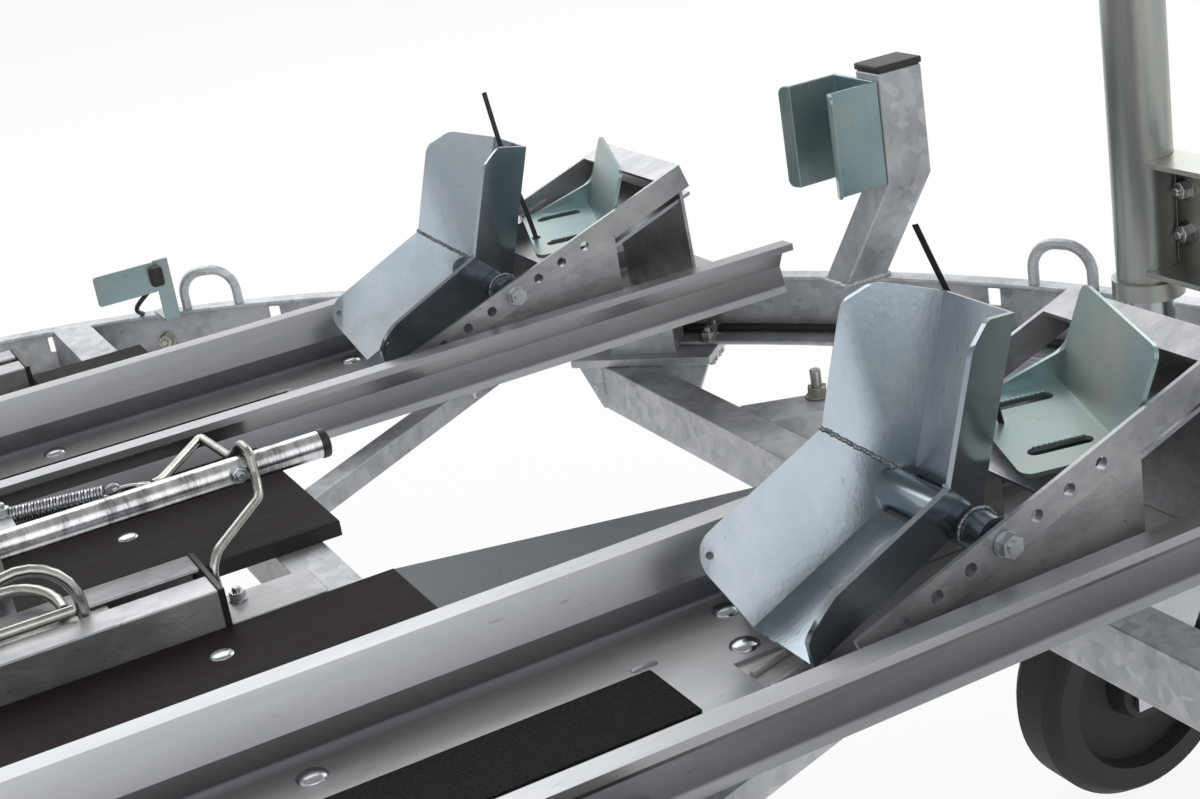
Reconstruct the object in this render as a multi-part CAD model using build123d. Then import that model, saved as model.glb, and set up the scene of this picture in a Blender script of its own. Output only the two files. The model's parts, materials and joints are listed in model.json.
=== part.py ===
from build123d import *
import math
import os

# Motorcycle trailer with three wheel rails, each with a rocking wheel chock.
# +X forward, +Y left, +Z up. The model is drawn from below the middle of the wheel axis
# and saved with its origin on the ground, below the middle of the whole outline.

# Levels
floor_top = 400.0
sheet = 3.0
rest_gap = 0.3

# Perimeter frame: a channel bent to a round bow, tighter corners, straight sides and rear
bow_radius = 1075.0
corner_radius = 782.0
side_y = 1197.0
bow_centre_x = 288.0
beam_height = 60.0
beam_wall = 4.0
top_flange = 18.0
bottom_flange = 40.0
frame_rear_x = -1215.0
slot_width = 12.0
slot_height = 16.0
slot_drop = 18.0
slot_angles = (-69.5, -52.0, -25.6, -8.0, 8.0, 25.6, 52.0, 69.5)

# Wheel rails, one folded sheet each: half widths and heights of the section
rail_pitch = 667.0
rail_shift = 12.0
rail_front_x = 1117.0
rail_rear_x = -1200.0
rail_floor_half = 91.0
rail_kink_half = 84.5
rail_kink_height = 21.0
rail_fold_half = 98.5
rail_height = 47.0
rail_lip_half = 115.0
rail_hem = 6.0
drain_length = 18.0
drain_width = 7.0
drain_offset = 45.0
drain_x = (-950.0, -450.0, 50.0, 680.0)
window_size = 46.0
window_x = 744.0

# Cross members: the chassis one in front, and those below the deck by their rear edge
cross_width = 36.0
cross_height = 45.0
cross_wall = 3.0
front_cross_x = 988.0
deck_cross_x = (560.0, 345.0, -381.0, -770.0)
bay_beam_inset = 260.0
stay_width = 20.0
stay_height = 18.0
# start beside the middle line, end forward, end beside the middle line
stay_table = ((467.0, 1010.0, 760.0), (97.0, 820.0, 20.0))

# Chassis joint below the bow: flange plates, gussets and spacers at one angle
flange_angle = 43.8
flange_thickness = 8.0
flange_depth = 72.0
flange_length = 139.0
gusset_bottom = 92.0
spacer_depth = 57.0
spacer_inset = 25.0
spacer_length = 65.0

# Drawbar
arm_side = 45.0
arm_wall = 4.0
arm_rear_y = 509.0
arm_front_x = 2060.0
arm_front_y = 34.0
coupling_reach = 110.0
coupling_radius = 44.0
neck_half = 28.0
neck_height = 44.0
neck_wall = 5.0
foot_half = 62.0
ball_radius = 25.2
ball_depth = 22.0

# Chocks: rail, the chock's and the rail's own middle line, place of the pivot along it
chock_table = (
    ("left", rail_pitch, rail_pitch + rail_shift, 860.0),
    ("centre", 0.0, rail_shift, 850.0),
    ("right", -rail_pitch, -rail_pitch - rail_shift, 860.0),
)
pivot_height = 65.0
incline = 19.0
strip_half_gap = 71.0
strip_height = 22.0
strip_rear = -104.0
strip_front = 186.0
hole_pitch = 25.0
hole_count = 7
hole_radius = 4.2
pivot_bolt_radius = 4.0
bolt_head_radius = 7.5
bolt_head_height = 6.5
washer_radius = 8.0
web_start = 52.0
web_drop = 18.0
gusset_front = 102.0
cap_start = 160.0
support_front = 178.0
foot_length = 24.0
foot_width = 20.0

# Rocker: two folded trays welded to a pivot tube
tray_width = 60.0
wing_depth = 50.0
wing_flare = 31.0
rocker_sheet = 3.0
tube_radius = 12.5
tube_side_gap = 1.5
pivot_clearance = 0.08
upper_start = (14.0, 8.0)
upper_lean = 17.5
upper_length = 110.0
lower_slope = 24.6
lower_start = (-12.0, -7.0)
lower_length = 106.0
upper_cut = 16.0
lower_cut = 11.0
notch_half = 27.0
notch_gap = 3.0

# Wheel stop: a slotted base and a wing folded up from it, clamped askew on the web
stop_length = 107.6
stop_base = 62.4
stop_wing = 63.5
stop_lean = 20.0
stop_corner = (131.9, 40.8, 30.0)
stop_turn = (5.1, -2.2, -18.7)
stop_slots = (21.4, 83.9)
stop_slot_length = 40.0
stop_slot_width = 9.0
stop_slot_front = 10.3
stop_ear = 20.0

# Wheels
wheel_inset = 133.0
tyre_radius = 274.0
tyre_width = 155.0
bead_radius = 170.0
rim_radius = 169.5
rim_width = 140.0
rim_sheet = 4.0
well_radius = 150.0
hub_radius = 58.0
spindle_radius = 15.0
running_gap = 0.08
stud_circle = 50.0
stud_count = 4
stud_radius = 6.0
trailing_arm = 150.0
arm_thickness = 18.0
axle_side = 70.0
axle_height = 300.0
axle_wall = 5.0

# Mudguards
guard_top = 632.0
guard_springing = 420.0
guard_bottom = 345.0
guard_width = 176.0
guard_sheet = 3.0

# Jack
jack_x = 1256.0
jack_y = 265.0
jack_tube_radius = 24.0
jack_inner_radius = 19.0
jack_tube_gap = 0.08
jack_bottom = 425.0
jack_top = 880.0
jack_wheel_radius = 100.0
jack_wheel_width = 55.0
jack_trail = 50.0
jack_pin_radius = 6.0
carrier_y = 150.0
carrier_thickness = 8.0

# Deck
plank_thickness = 12.0
plank_front_x = 611.0
plank_rear_x = -1165.0
rail_side_gap = 2.0
lash_width = 72.0
lash_height = 38.0
lash_y = 319.0
outer_lash_y = 934.0
middle_plank_y = 388.0
outer_piece_x = 504.0
outer_piece_y = 956.0
lash_front_x = 494.0
lash_wall = 3.0
lash_slot = 14.0
infill_rear_y = 301.0
infill_front_x = 975.0
infill_front_y = 197.0

# Holder posts on the bow
post_depth = 45.0
post_width = 35.0
post_base = (1180.0, 566.0)
post_head = (1204.0, 516.0)
post_knee = 496.0
post_top = 592.0
post_cap = 6.0
cradle_height = 91.0
cradle_width = 64.0
cradle_depth = 48.0
cradle_lip = 10.0

# Lashing hoops: angle round the bow, or place along the side beam
hoop_rod = 5.0
hoop_sides = 8
hoop_width = 56.0
hoop_height = 38.0
hoop_inset = 12.0
hoop_angles = (-56.5, -21.7, 21.7, 56.5)
hoop_side_x = (-480.0, -1020.0)

# Stowed tube
stow_radius = 10.0
stow_y = 400.0
stow_z = 465.0
stow_front_x = 615.0
stow_rear_x = -590.0

# Lamps and cable
lamp_inset = 250.0
lamp_z = 361.0
lamp_size = (46.0, 210.0, 92.0)
plate_half = 265.0
plate_depth = 5.0
plate_drop = 62.0
plate_rise = 50.0
cable_radius = 4.0
cable_sides = 8
cable_inset = 14.0
cable_corner = 60.0

frame_top = floor_top - sheet
frame_bottom = frame_top - beam_height
chassis_top = frame_bottom - flange_thickness - rest_gap
chassis_bottom = chassis_top - arm_side
web_radius = bow_radius - beam_wall
tangent_angle = math.degrees(math.asin((bow_radius - corner_radius) / (side_y - corner_radius)))
wheel_y = side_y - wheel_inset
bay_beam_y = side_y - bay_beam_inset
lamp_y = side_y - lamp_inset
coupling_x = arm_front_x + coupling_reach
front_end = coupling_x + coupling_radius
rear_end = frame_rear_x - rest_gap - lamp_size[0]
middle_x = (front_end + rear_end) / 2


def offset_line(points, thickness):
    """Outline of a folded sheet: the line itself and its mitred left offset."""
    normals = []
    for (ax, ay), (bx, by) in zip(points, points[1:]):
        run = math.hypot(bx - ax, by - ay)
        normals.append((-(by - ay) / run, (bx - ax) / run))
    outer = []
    for index, (px, py) in enumerate(points):
        first = normals[max(index - 1, 0)]
        second = normals[min(index, len(normals) - 1)]
        sx, sy = first[0] + second[0], first[1] + second[1]
        scale = thickness * 2 / (sx * sx + sy * sy)
        outer.append((px + sx * scale, py + sy * scale))
    return points + outer[::-1]


def polygon(points):
    """Closed face through points."""
    return make_face(Polyline(*points, close=True))


def box_span(x0, x1, y0, y1, z0, z1):
    """Box between two corners, its Y values in any order."""
    size = (x1 - x0, abs(y1 - y0), z1 - z0)
    return Pos((x0 + x1) / 2, (y0 + y1) / 2, (z0 + z1) / 2) * Box(*size)


def cylinder_y(radius, y0, y1, x, z):
    """Round bar along Y."""
    return Pos(x, (y0 + y1) / 2, z) * Rot(90, 0, 0) * Cylinder(radius, abs(y1 - y0))


def side_plate(points, y0, y1):
    """Plate drawn in side view (x, z), between two Y values."""
    return extrude(Plane.XZ.offset(-y1) * polygon(points), y1 - y0)


def tube_between(start, end, top, width, height, wall):
    """Rectangular tube whose middle line runs from start to end in plan."""
    run = math.dist(start, end)
    turn = math.degrees(math.atan2(end[1] - start[1], end[0] - start[0]))
    tube = Box(run, width, height) - Box(run + 2, width - 2 * wall, height - 2 * wall)
    middle = Pos((start[0] + end[0]) / 2, (start[1] + end[1]) / 2, top - height / 2)
    return middle * Rot(0, 0, turn) * tube


def on_bow(angle, inset=0):
    """Place on the frame's outer edge where it faces an angle, with +X outwards."""
    if abs(angle) <= tangent_angle:
        centre_y, radius = 0, bow_radius
    else:
        centre_y, radius = math.copysign(side_y - corner_radius, angle), corner_radius
    return Pos(bow_centre_x, centre_y, 0) * Rot(0, 0, angle) * Pos(radius - inset, 0, 0)


def save(shape, name):
    """Writes one piece as parts/NAME.step, or several as its solids."""
    if not isinstance(shape, list):
        shape = [shape]
    moved = [Pos(-middle_x, 0, 0) * piece for piece in shape]
    whole = Compound(children=moved) if len(moved) > 1 else moved[0]
    whole.label = name
    export_step(whole, "parts/" + name + ".step")


os.makedirs("parts", exist_ok=True)
sides = (("left", 1), ("right", -1))


# Perimeter frame
def frame_edges(inset):
    """Bow of the frame's plan, then its straight, corner and side on the left and right."""
    turn, rear = math.radians(tangent_angle), frame_rear_x + inset
    bow, corner, offset = bow_radius - inset, corner_radius - inset, side_y - corner_radius
    middle = (turn + math.pi / 2) / 2

    def at(radius, angle, sign, centre_y):
        return (bow_centre_x + radius * math.cos(angle), sign * (centre_y + radius * math.sin(angle)))

    edges = [ThreePointArc(at(bow, turn, -1, 0), at(bow, 0, 1, 0), at(bow, turn, 1, 0))]
    for sign in (1, -1):
        start, end = at(corner, turn, sign, offset), at(corner, math.pi / 2, sign, offset)
        edges.append(Line(at(bow, turn, sign, 0), start))
        edges.append(ThreePointArc(start, at(corner, middle, sign, offset), end))
        edges.append(Line(end, (rear, end[1])))
    return edges


def frame_outline(inset):
    """Plan of the frame, moved in from its outer edge."""
    rear, side = frame_rear_x + inset, side_y - inset
    return make_face(Curve() + frame_edges(inset) + [Line((rear, side), (rear, -side))])


def frame_band(depth, z0, z1):
    """Band of the frame, as deep as given, between two heights."""
    return Pos(0, 0, z0) * extrude(frame_outline(0) - frame_outline(depth), z1 - z0)


perimeter = frame_band(beam_wall, frame_bottom, frame_top)
perimeter += frame_band(top_flange, frame_top - beam_wall, frame_top)
perimeter += frame_band(bottom_flange, frame_bottom, frame_bottom + beam_wall)
for angle in slot_angles:
    slot = Pos(0, 0, frame_top - slot_drop) * Box(3 * beam_wall, slot_width, slot_height)
    perimeter -= on_bow(angle) * slot
save(perimeter, "perimeter_frame")

# Wheel rails
half = [
    (0, floor_top),
    (rail_floor_half, floor_top),
    (rail_kink_half, floor_top + rail_kink_height),
    (rail_fold_half, floor_top + rail_height),
    (rail_lip_half, floor_top + rail_height),
    (rail_lip_half, floor_top + rail_height - rail_hem),
]
profile = [(-y, z) for y, z in reversed(half)] + half[1:]
rail_face = Plane.YZ * polygon(offset_line(profile, -sheet))
for name, chock_y, rail_y, pivot_x in chock_table:
    rail = Pos(rail_rear_x, rail_y, 0) * extrude(rail_face, rail_front_x - rail_rear_x)
    for x in drain_x:
        drain = extrude(SlotOverall(drain_length, drain_width), 3 * sheet)
        rail -= Pos(x, rail_y + drain_offset, floor_top - 2 * sheet) * drain
    rail -= Pos(window_x, chock_y, floor_top) * Box(window_size, window_size, 4 * sheet)
    save(rail, "rail_" + name)

# Framing under the deck: crossbeams, beams beside the wheel bays, stays to the bow
flange_space = frame_band(top_flange + rest_gap, frame_top - beam_wall - rest_gap, frame_top + rest_gap)
inside_frame = Pos(0, 0, frame_bottom) * extrude(frame_outline(beam_wall + rest_gap), beam_height)
deck_beams = []
for x in deck_cross_x:
    ends = ((x + cross_width / 2, -side_y), (x + cross_width / 2, side_y))
    beam = tube_between(*ends, frame_top, cross_width, cross_height, cross_wall)
    deck_beams.append((beam & inside_frame) - flange_space)
bay_ends = (deck_cross_x[2] + cross_width + rest_gap, deck_cross_x[1] - rest_gap)
for name, sign in sides:
    bay = [(x, sign * bay_beam_y) for x in bay_ends]
    deck_beams.append(tube_between(*bay, frame_top, cross_width, cross_height, cross_wall))
stay_x = deck_cross_x[0] + cross_width
for name, sign in sides:
    for start_y, end_x, end_y in stay_table:
        ends = ((stay_x, sign * start_y), (end_x, sign * end_y))
        stay = tube_between(*ends, frame_top, stay_width, stay_height, cross_wall)
        stay -= box_span(0, stay_x + rest_gap, -side_y, side_y, 0, floor_top)
        deck_beams.append((stay & inside_frame) - flange_space)
save(deck_beams, "deck_framing")

# Chassis crossbeam with its flange plates, gussets and spacers
front_cross = tube_between(
    (front_cross_x + cross_width / 2, -side_y),
    (front_cross_x + cross_width / 2, side_y),
    chassis_top,
    cross_width,
    arm_side,
    cross_wall,
)
brackets = []
joint_top = frame_bottom - rest_gap
joint_bottom = joint_top - flange_thickness
half_plate, half_gusset, half_spacer = flange_length / 2, gusset_bottom / 2, spacer_length / 2
gusset_x = flange_thickness - flange_depth
flange_edge = -bottom_flange - 2 * rest_gap
over_flange = frame_bottom + beam_wall + rest_gap
for name, sign in sides:
    place = on_bow(sign * flange_angle)
    front_cross -= place * box_span(gusset_x - rest_gap, side_y, -side_y, side_y, 0, floor_top)
    bracket = box_span(-flange_depth, -beam_wall, -half_plate, half_plate, joint_bottom, joint_top)
    gusset = [(half_plate, joint_top), (half_gusset, chassis_bottom)]
    gusset += [(-y, z) for y, z in reversed(gusset)]
    bracket += extrude(Plane.YZ.offset(gusset_x) * polygon(gusset), flange_thickness)
    spacer = box_span(-spacer_depth, -spacer_inset, -half_spacer, half_spacer, joint_top, frame_top)
    spacer -= box_span(flange_edge, 0, -half_plate, half_plate, joint_top, over_flange)
    brackets.append(place * (bracket + spacer))
save(front_cross, "front_crossbeam")
save(brackets, "bow_brackets")

# Drawbar arms and coupling
arms = []
for name, sign in sides:
    start_x = front_cross_x + cross_width
    lead = (arm_rear_y - arm_front_y) / (arm_front_x - start_x)
    rear_end = (start_x - 30, sign * (arm_rear_y + 30 * lead))
    arm = tube_between(rear_end, (arm_front_x, sign * arm_front_y), chassis_top, arm_side, arm_side, arm_wall)
    arm -= box_span(0, start_x + rest_gap, -1000, 1000, 0, 500)
    arms.append(arm)
save(arms, "drawbar_arms")
plate_top = chassis_top + rest_gap + flange_thickness
neck_top = plate_top + neck_height
neck_inner = neck_half - neck_wall
head_rear = coupling_x - coupling_radius - neck_wall
neck = box_span(arm_front_x - 150, coupling_x, -neck_half, neck_half, plate_top, neck_top)
neck -= box_span(0, head_rear, -neck_inner, neck_inner, 0, neck_top - neck_wall)
foot_x = (arm_front_x - 170, arm_front_x + 20)
neck += box_span(*foot_x, -foot_half, foot_half, chassis_top + rest_gap, plate_top)
cup_bottom = plate_top - ball_depth
dome = [
    (0, cup_bottom),
    (coupling_radius - 6, cup_bottom),
    (coupling_radius, cup_bottom + 8),
    (coupling_radius, neck_top - 14),
    (coupling_radius - 14, neck_top + 6),
    (0, neck_top + 12),
]
bowl = [
    (0, cup_bottom - 1),
    (ball_radius, cup_bottom - 1),
    (ball_radius, cup_bottom + ball_depth),
    (ball_radius * 0.7, cup_bottom + ball_depth + 16),
    (0, cup_bottom + ball_depth + 22),
]
head = neck + Pos(coupling_x, 0, 0) * revolve(Plane.XZ * polygon(dome), Axis.Z)
head -= Pos(coupling_x, 0, 0) * revolve(Plane.XZ * polygon(bowl), Axis.Z)
save(head, "coupling_head")
grip = [(0, 0), (70, 16), (128, 20), (128, 30), (66, 30), (0, 12)]
lever_x, lever_z = arm_front_x - 20, neck_top + rest_gap
lever = side_plate([(lever_x + x, lever_z + z) for x, z in grip], -12, 12)
clear_dome = Pos(coupling_x, 0, neck_top + 6) * Cylinder(coupling_radius + rest_gap, 14)
save(lever - clear_dome, "coupling_lever")

# Jack: outer tube, carrier, sliding leg, wheel and crank
tube_length = jack_top - jack_bottom
outer_tube = Pos(jack_x, jack_y, jack_bottom + tube_length / 2) * Cylinder(jack_tube_radius, tube_length)
outer_tube += Pos(jack_x, jack_y, jack_bottom + 7) * Cylinder(jack_tube_radius + 4, 14)
bore_radius = jack_inner_radius + jack_tube_gap
outer_tube -= Pos(jack_x, jack_y, jack_bottom + tube_length / 2) * Cylinder(bore_radius, tube_length + 4)
save(outer_tube, "jack_outer_tube")
clamp_z = (446.0, 538.0)
clamp_y = (carrier_y + 1, jack_y - 12.0)
clamp_x = (jack_x - 17, jack_x + 21)
clamp = box_span(clamp_x[1] - 4, clamp_x[1], *clamp_y, *clamp_z)
for z in (clamp_z[0], clamp_z[1] - 4):
    clamp += box_span(*clamp_x, *clamp_y, z, z + 4)
clamp -= Pos(jack_x, jack_y, 500) * Cylinder(jack_tube_radius + rest_gap, 300)
bow_x = bow_centre_x + math.sqrt(web_radius**2 - (carrier_y + carrier_thickness) ** 2)
carrier_foot = frame_bottom + beam_wall + 2 * cable_radius + sheet
carrier = [
    (jack_x - 20, clamp_z[0] - 12),
    (jack_x - 20, clamp_z[1] + 8),
    (jack_x + 40, clamp_z[1] + 8),
    (bow_x - 8, frame_top + 40),
    (bow_x - 8, carrier_foot),
    (bow_x - 26, carrier_foot),
]
carrier_plate = side_plate(carrier, carrier_y, carrier_y + carrier_thickness)
save(carrier_plate - flange_space + clamp, "jack_bracket")
fork_top = 2 * jack_wheel_radius + 24
leg_top = jack_bottom + 150
leg = Pos(jack_x, jack_y, (leg_top + fork_top) / 2) * Cylinder(jack_inner_radius, leg_top - fork_top)
fork_half = jack_wheel_width / 2 + 8
fork_x = (jack_x - jack_trail - 16, jack_x + jack_inner_radius)
fork_side = [
    (fork_x[0], jack_wheel_radius - 14),
    (fork_x[0] + 32, jack_wheel_radius - 14),
    (fork_x[1], fork_top - 40),
    (fork_x[1], fork_top),
    (fork_x[0], fork_top),
]
wheel_axis = (jack_x - jack_trail, jack_wheel_radius)
for sign in (1, -1):
    y0, y1 = sorted((jack_y + sign * fork_half, jack_y + sign * (fork_half - 4)))
    leg += side_plate(fork_side, y0, y1)
leg += box_span(*fork_x, jack_y - fork_half, jack_y + fork_half, fork_top - 4, fork_top)
leg += cylinder_y(jack_pin_radius, jack_y - fork_half - 5, jack_y + fork_half + 5, *wheel_axis)
save(leg, "jack_leg")
half_wheel = jack_wheel_width / 2
section = [
    (jack_pin_radius + running_gap, -half_wheel - 2),
    (26, -half_wheel - 2),
    (30, -12),
    (70, -12),
    (72, -half_wheel),
    (90, -half_wheel),
    (jack_wheel_radius, -half_wheel + 12),
]
section += [(r, -y) for r, y in reversed(section)]
jack_wheel = revolve(polygon(section), Axis.Y)
save(Pos(wheel_axis[0], jack_y, wheel_axis[1]) * jack_wheel, "jack_wheel")
crank = Pos(jack_x, jack_y, jack_top + 14 + rest_gap) * Cylinder(jack_tube_radius, 28)
crank += box_span(jack_x - 10, jack_x + 140, jack_y - 10, jack_y + 10, jack_top + 20, jack_top + 27)
crank += Pos(jack_x + 130, jack_y, jack_top + 62) * Cylinder(11, 72)
save(crank, "jack_crank")

# Chocks
slope = math.radians(incline)
along = (math.cos(slope), math.sin(slope))
normal = (-math.sin(slope), math.cos(slope))
pivot_z = floor_top + pivot_height
half_strip = strip_height / 2
strip_inner = strip_half_gap - sheet


def on_incline(s, h):
    """Point in the chock's side view, from distances along and above the hole row."""
    return (s * along[0] + h * normal[0], s * along[1] + h * normal[1])


low = -pivot_height + rest_gap
rear_bottom, rear_top = on_incline(strip_rear, -half_strip), on_incline(strip_rear, half_strip)
front_top, front_bottom = on_incline(strip_front, half_strip), on_incline(strip_front, -half_strip)
gusset_outer = strip_inner
gusset_inner = gusset_outer - sheet
strip = [rear_bottom, rear_top, front_top, front_bottom]
gusset = [rear_bottom, on_incline(strip_rear, 0), on_incline(gusset_front / along[0], 0)]
gusset += [(gusset_front, low), (rear_bottom[0], low)]
foot_inner = gusset_outer - foot_width
web = [on_incline(s, h) for s, h in ((web_start, -web_drop - sheet), (strip_front, -web_drop - sheet))]
web += [on_incline(s, h) for s, h in ((strip_front, -web_drop), (web_start, -web_drop))]
cap = [on_incline(cap_start, half_strip), front_top, (support_front, low + sheet)]
cap += [(support_front + foot_length, low + sheet)]
base = side_plate(offset_line(cap, -sheet), -strip_inner, strip_inner)
base += side_plate(web, -gusset_inner, gusset_inner)
for sign in (1, -1):
    base += side_plate(strip, *sorted((sign * strip_inner, sign * strip_half_gap)))
    base += side_plate(gusset, *sorted((sign * gusset_inner, sign * gusset_outer)))
    base += box_span(rear_bottom[0], gusset_front, sign * gusset_outer, sign * foot_inner, low, low + sheet)
for index in range(hole_count):
    hole_x, hole_z = on_incline((index - hole_count // 2) * hole_pitch, 0)
    base -= cylinder_y(hole_radius, -strip_half_gap - 5, strip_half_gap + 5, hole_x, hole_z)

# Each tray: start, direction along the strip, direction the wings rise, length, corner cut
lean, fall = math.radians(upper_lean), math.radians(lower_slope)
upper_run, upper_rise = (math.sin(lean), math.cos(lean)), (-math.cos(lean), math.sin(lean))
lower_run, lower_rise = (-math.cos(fall), -math.sin(fall)), (-math.sin(fall), math.cos(fall))
tray_table = (
    (upper_start, upper_run, upper_rise, upper_length, upper_cut, 1),
    (lower_start, lower_run, lower_rise, lower_length, lower_cut, -1),
)
# The trays meet in a mitre, from where their floors cross outwards
cross = upper_run[0] * lower_run[1] - upper_run[1] * lower_run[0]
gap_x, gap_z = lower_start[0] - upper_start[0], lower_start[1] - upper_start[1]
ahead = (gap_x * lower_run[1] - gap_z * lower_run[0]) / cross
mitre_foot = (upper_start[0] + ahead * upper_run[0], upper_start[1] + ahead * upper_run[1])
mitre_run = (upper_run[0] + lower_run[0], upper_run[1] + lower_run[1])
mitre_length = math.hypot(*mitre_run)
mitre_run = (mitre_run[0] / mitre_length, mitre_run[1] / mitre_length)
reach = 4 * wing_depth


def beyond_mitre(side):
    """Side view of all that lies below the mitre, or above it for side -1."""
    ends = []
    for along_mitre, across in ((-1, 0), (1, 0), (1, -side), (-1, -side)):
        x = mitre_foot[0] + reach * (along_mitre * mitre_run[0] + across * mitre_run[1])
        z = mitre_foot[1] + reach * (along_mitre * mitre_run[1] - across * mitre_run[0])
        ends.append((x, z))
    return ends


tray_section = [
    (-tray_width / 2 - wing_flare, wing_depth),
    (-tray_width / 2, 0),
    (tray_width / 2, 0),
    (tray_width / 2 + wing_flare, wing_depth),
]
tube_half = gusset_inner - tube_side_gap
trays = None
for start, run, rise, length, cut, side in tray_table:
    rear = (start[0] - wing_depth * run[0], start[1] - wing_depth * run[1])
    flat = Plane(origin=(rear[0], 0, rear[1]), x_dir=(0, 1, 0), z_dir=(run[0], 0, run[1]))
    if flat.y_dir.X * rise[0] + flat.y_dir.Z * rise[1] < 0:
        flat = Plane(origin=(rear[0], 0, rear[1]), x_dir=(0, -1, 0), z_dir=(run[0], 0, run[1]))
    tray = extrude(flat * polygon(offset_line(tray_section, -rocker_sheet)), length + wing_depth)
    tray -= side_plate(beyond_mitre(side), -reach, reach)
    corner = [(wing_depth + cut, length + cut), (wing_depth + cut, length - 2 * cut)]
    corner.append((wing_depth - 2 * cut, length + cut))
    corner_points = [
        (start[0] + s * run[0] + h * rise[0], start[1] + s * run[1] + h * rise[1]) for h, s in corner
    ]
    tray -= side_plate(corner_points, -reach, reach)
    trays = tray if trays is None else trays + tray
rocker = trays - cylinder_y(tube_radius + notch_gap, -notch_half, notch_half, 0, 0)
rocker += cylinder_y(tube_radius, -tube_half, tube_half, 0, 0)
rocker -= cylinder_y(pivot_bolt_radius + pivot_clearance, -reach, reach, 0, 0)

wing_run = (math.sin(math.radians(stop_lean)), math.cos(math.radians(stop_lean)))
stop_side = [(-stop_base, 0), (0, 0), (stop_wing * wing_run[0], stop_wing * wing_run[1])]
stop = side_plate(offset_line(stop_side, -sheet), -stop_length, 0)
for slot_y in stop_slots:
    slot_x = -stop_slot_front - stop_slot_length / 2
    slot = extrude(SlotOverall(stop_slot_length, stop_slot_width), 3 * sheet, both=True)
    stop -= Pos(slot_x, -slot_y, 0) * slot
ear = [(4 * sheet - stop_base, 0), (0, 0), (stop_ear * wing_run[0], stop_ear * wing_run[1])]
stop += side_plate(ear, -sheet, 0)
stop = Pos(*stop_corner) * Rot(0, 0, stop_turn[2]) * Rot(0, stop_turn[1], 0) * Rot(stop_turn[0], 0, 0) * stop

pivot_bolt = cylinder_y(pivot_bolt_radius, -strip_half_gap - 10, strip_half_gap + 9, 0, 0)
bolts, stops = [], []
for name, chock_y, rail_y, pivot_x in chock_table:
    place = Pos(pivot_x, chock_y, pivot_z)
    save(place * base, "chock_base_" + name)
    save(place * rocker, "rocker_" + name)
    bolt = pivot_bolt
    for sign in (1, -1):
        washer_y = sorted((sign * (strip_half_gap + rest_gap), sign * (strip_half_gap + 2)))
        bolt += cylinder_y(washer_radius, *washer_y, 0, 0)
        head_face = Plane(origin=(0, sign * (strip_half_gap + 2), 0), z_dir=(0, sign, 0))
        bolt += extrude(head_face * RegularPolygon(bolt_head_radius, 6), bolt_head_height)
    bolts.append(place * bolt)
    stops.append(place * stop)
save(bolts, "pivot_bolts")
save(stops, "wheel_stops")

# Deck planks between the rails and the lashing beams
plank_top = frame_top + plank_thickness
rail_edge = rail_floor_half + sheet + rail_side_gap
half_lash = lash_width / 2
outer_rail_y = rail_pitch + rail_shift
outer_edge = outer_lash_y - half_lash - 1
plank_z = (frame_top + rest_gap, plank_top)
# name, inner edge, outer edge, how far the left and right planks are moved to the left
plank_table = (
    ("inner", rail_edge, lash_y - half_lash - 1, rail_shift),
    ("middle", middle_plank_y, outer_rail_y - rail_edge, 0),
    ("outer", outer_rail_y + rail_edge, outer_edge, 0),
)
for plank_name, y0, y1, shift in plank_table:
    planks = []
    for name, sign in sides:
        plank = box_span(plank_rear_x, plank_front_x, sign * y0 + shift, sign * y1, *plank_z)
        if plank_name == "outer":
            plank += box_span(outer_piece_x, plank_front_x, sign * y1, sign * outer_piece_y, *plank_z)
        planks.append(plank)
    save(planks, "planks_" + plank_name)
lash_beams = []
lash_z = (frame_top + rest_gap, frame_top + lash_height)
for middle in (lash_y, outer_lash_y):
    rear, front = plank_rear_x, lash_front_x
    for name, sign in sides:
        beam = box_span(rear, front, sign * (middle - half_lash), sign * (middle + half_lash), *lash_z)
        hollow = (lash_z[0] + lash_wall, lash_z[1] - lash_wall)
        inside = half_lash - lash_wall
        beam -= box_span(rear - 1, front + 1, sign * (middle - inside), sign * (middle + inside), *hollow)
        slot_y = (sign * middle - lash_slot / 2, sign * middle + lash_slot / 2)
        beam -= box_span(rear - 1, front + 1, *slot_y, hollow[0], lash_z[1] + 1)
        lash_beams.append(beam)
save(lash_beams, "lashing_beams")
infill_edge = rail_shift + rail_edge
infill_rear_x = plank_front_x + rest_gap
infill_outline = [
    (infill_rear_x, infill_edge),
    (infill_rear_x, infill_rear_y),
    (infill_front_x, infill_front_y),
    (infill_front_x, infill_edge),
]
infill = extrude(polygon(infill_outline), sheet, dir=(0, 0, 1))
save(Pos(0, 0, frame_top + rest_gap) * infill, "infill_sheet")

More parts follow.
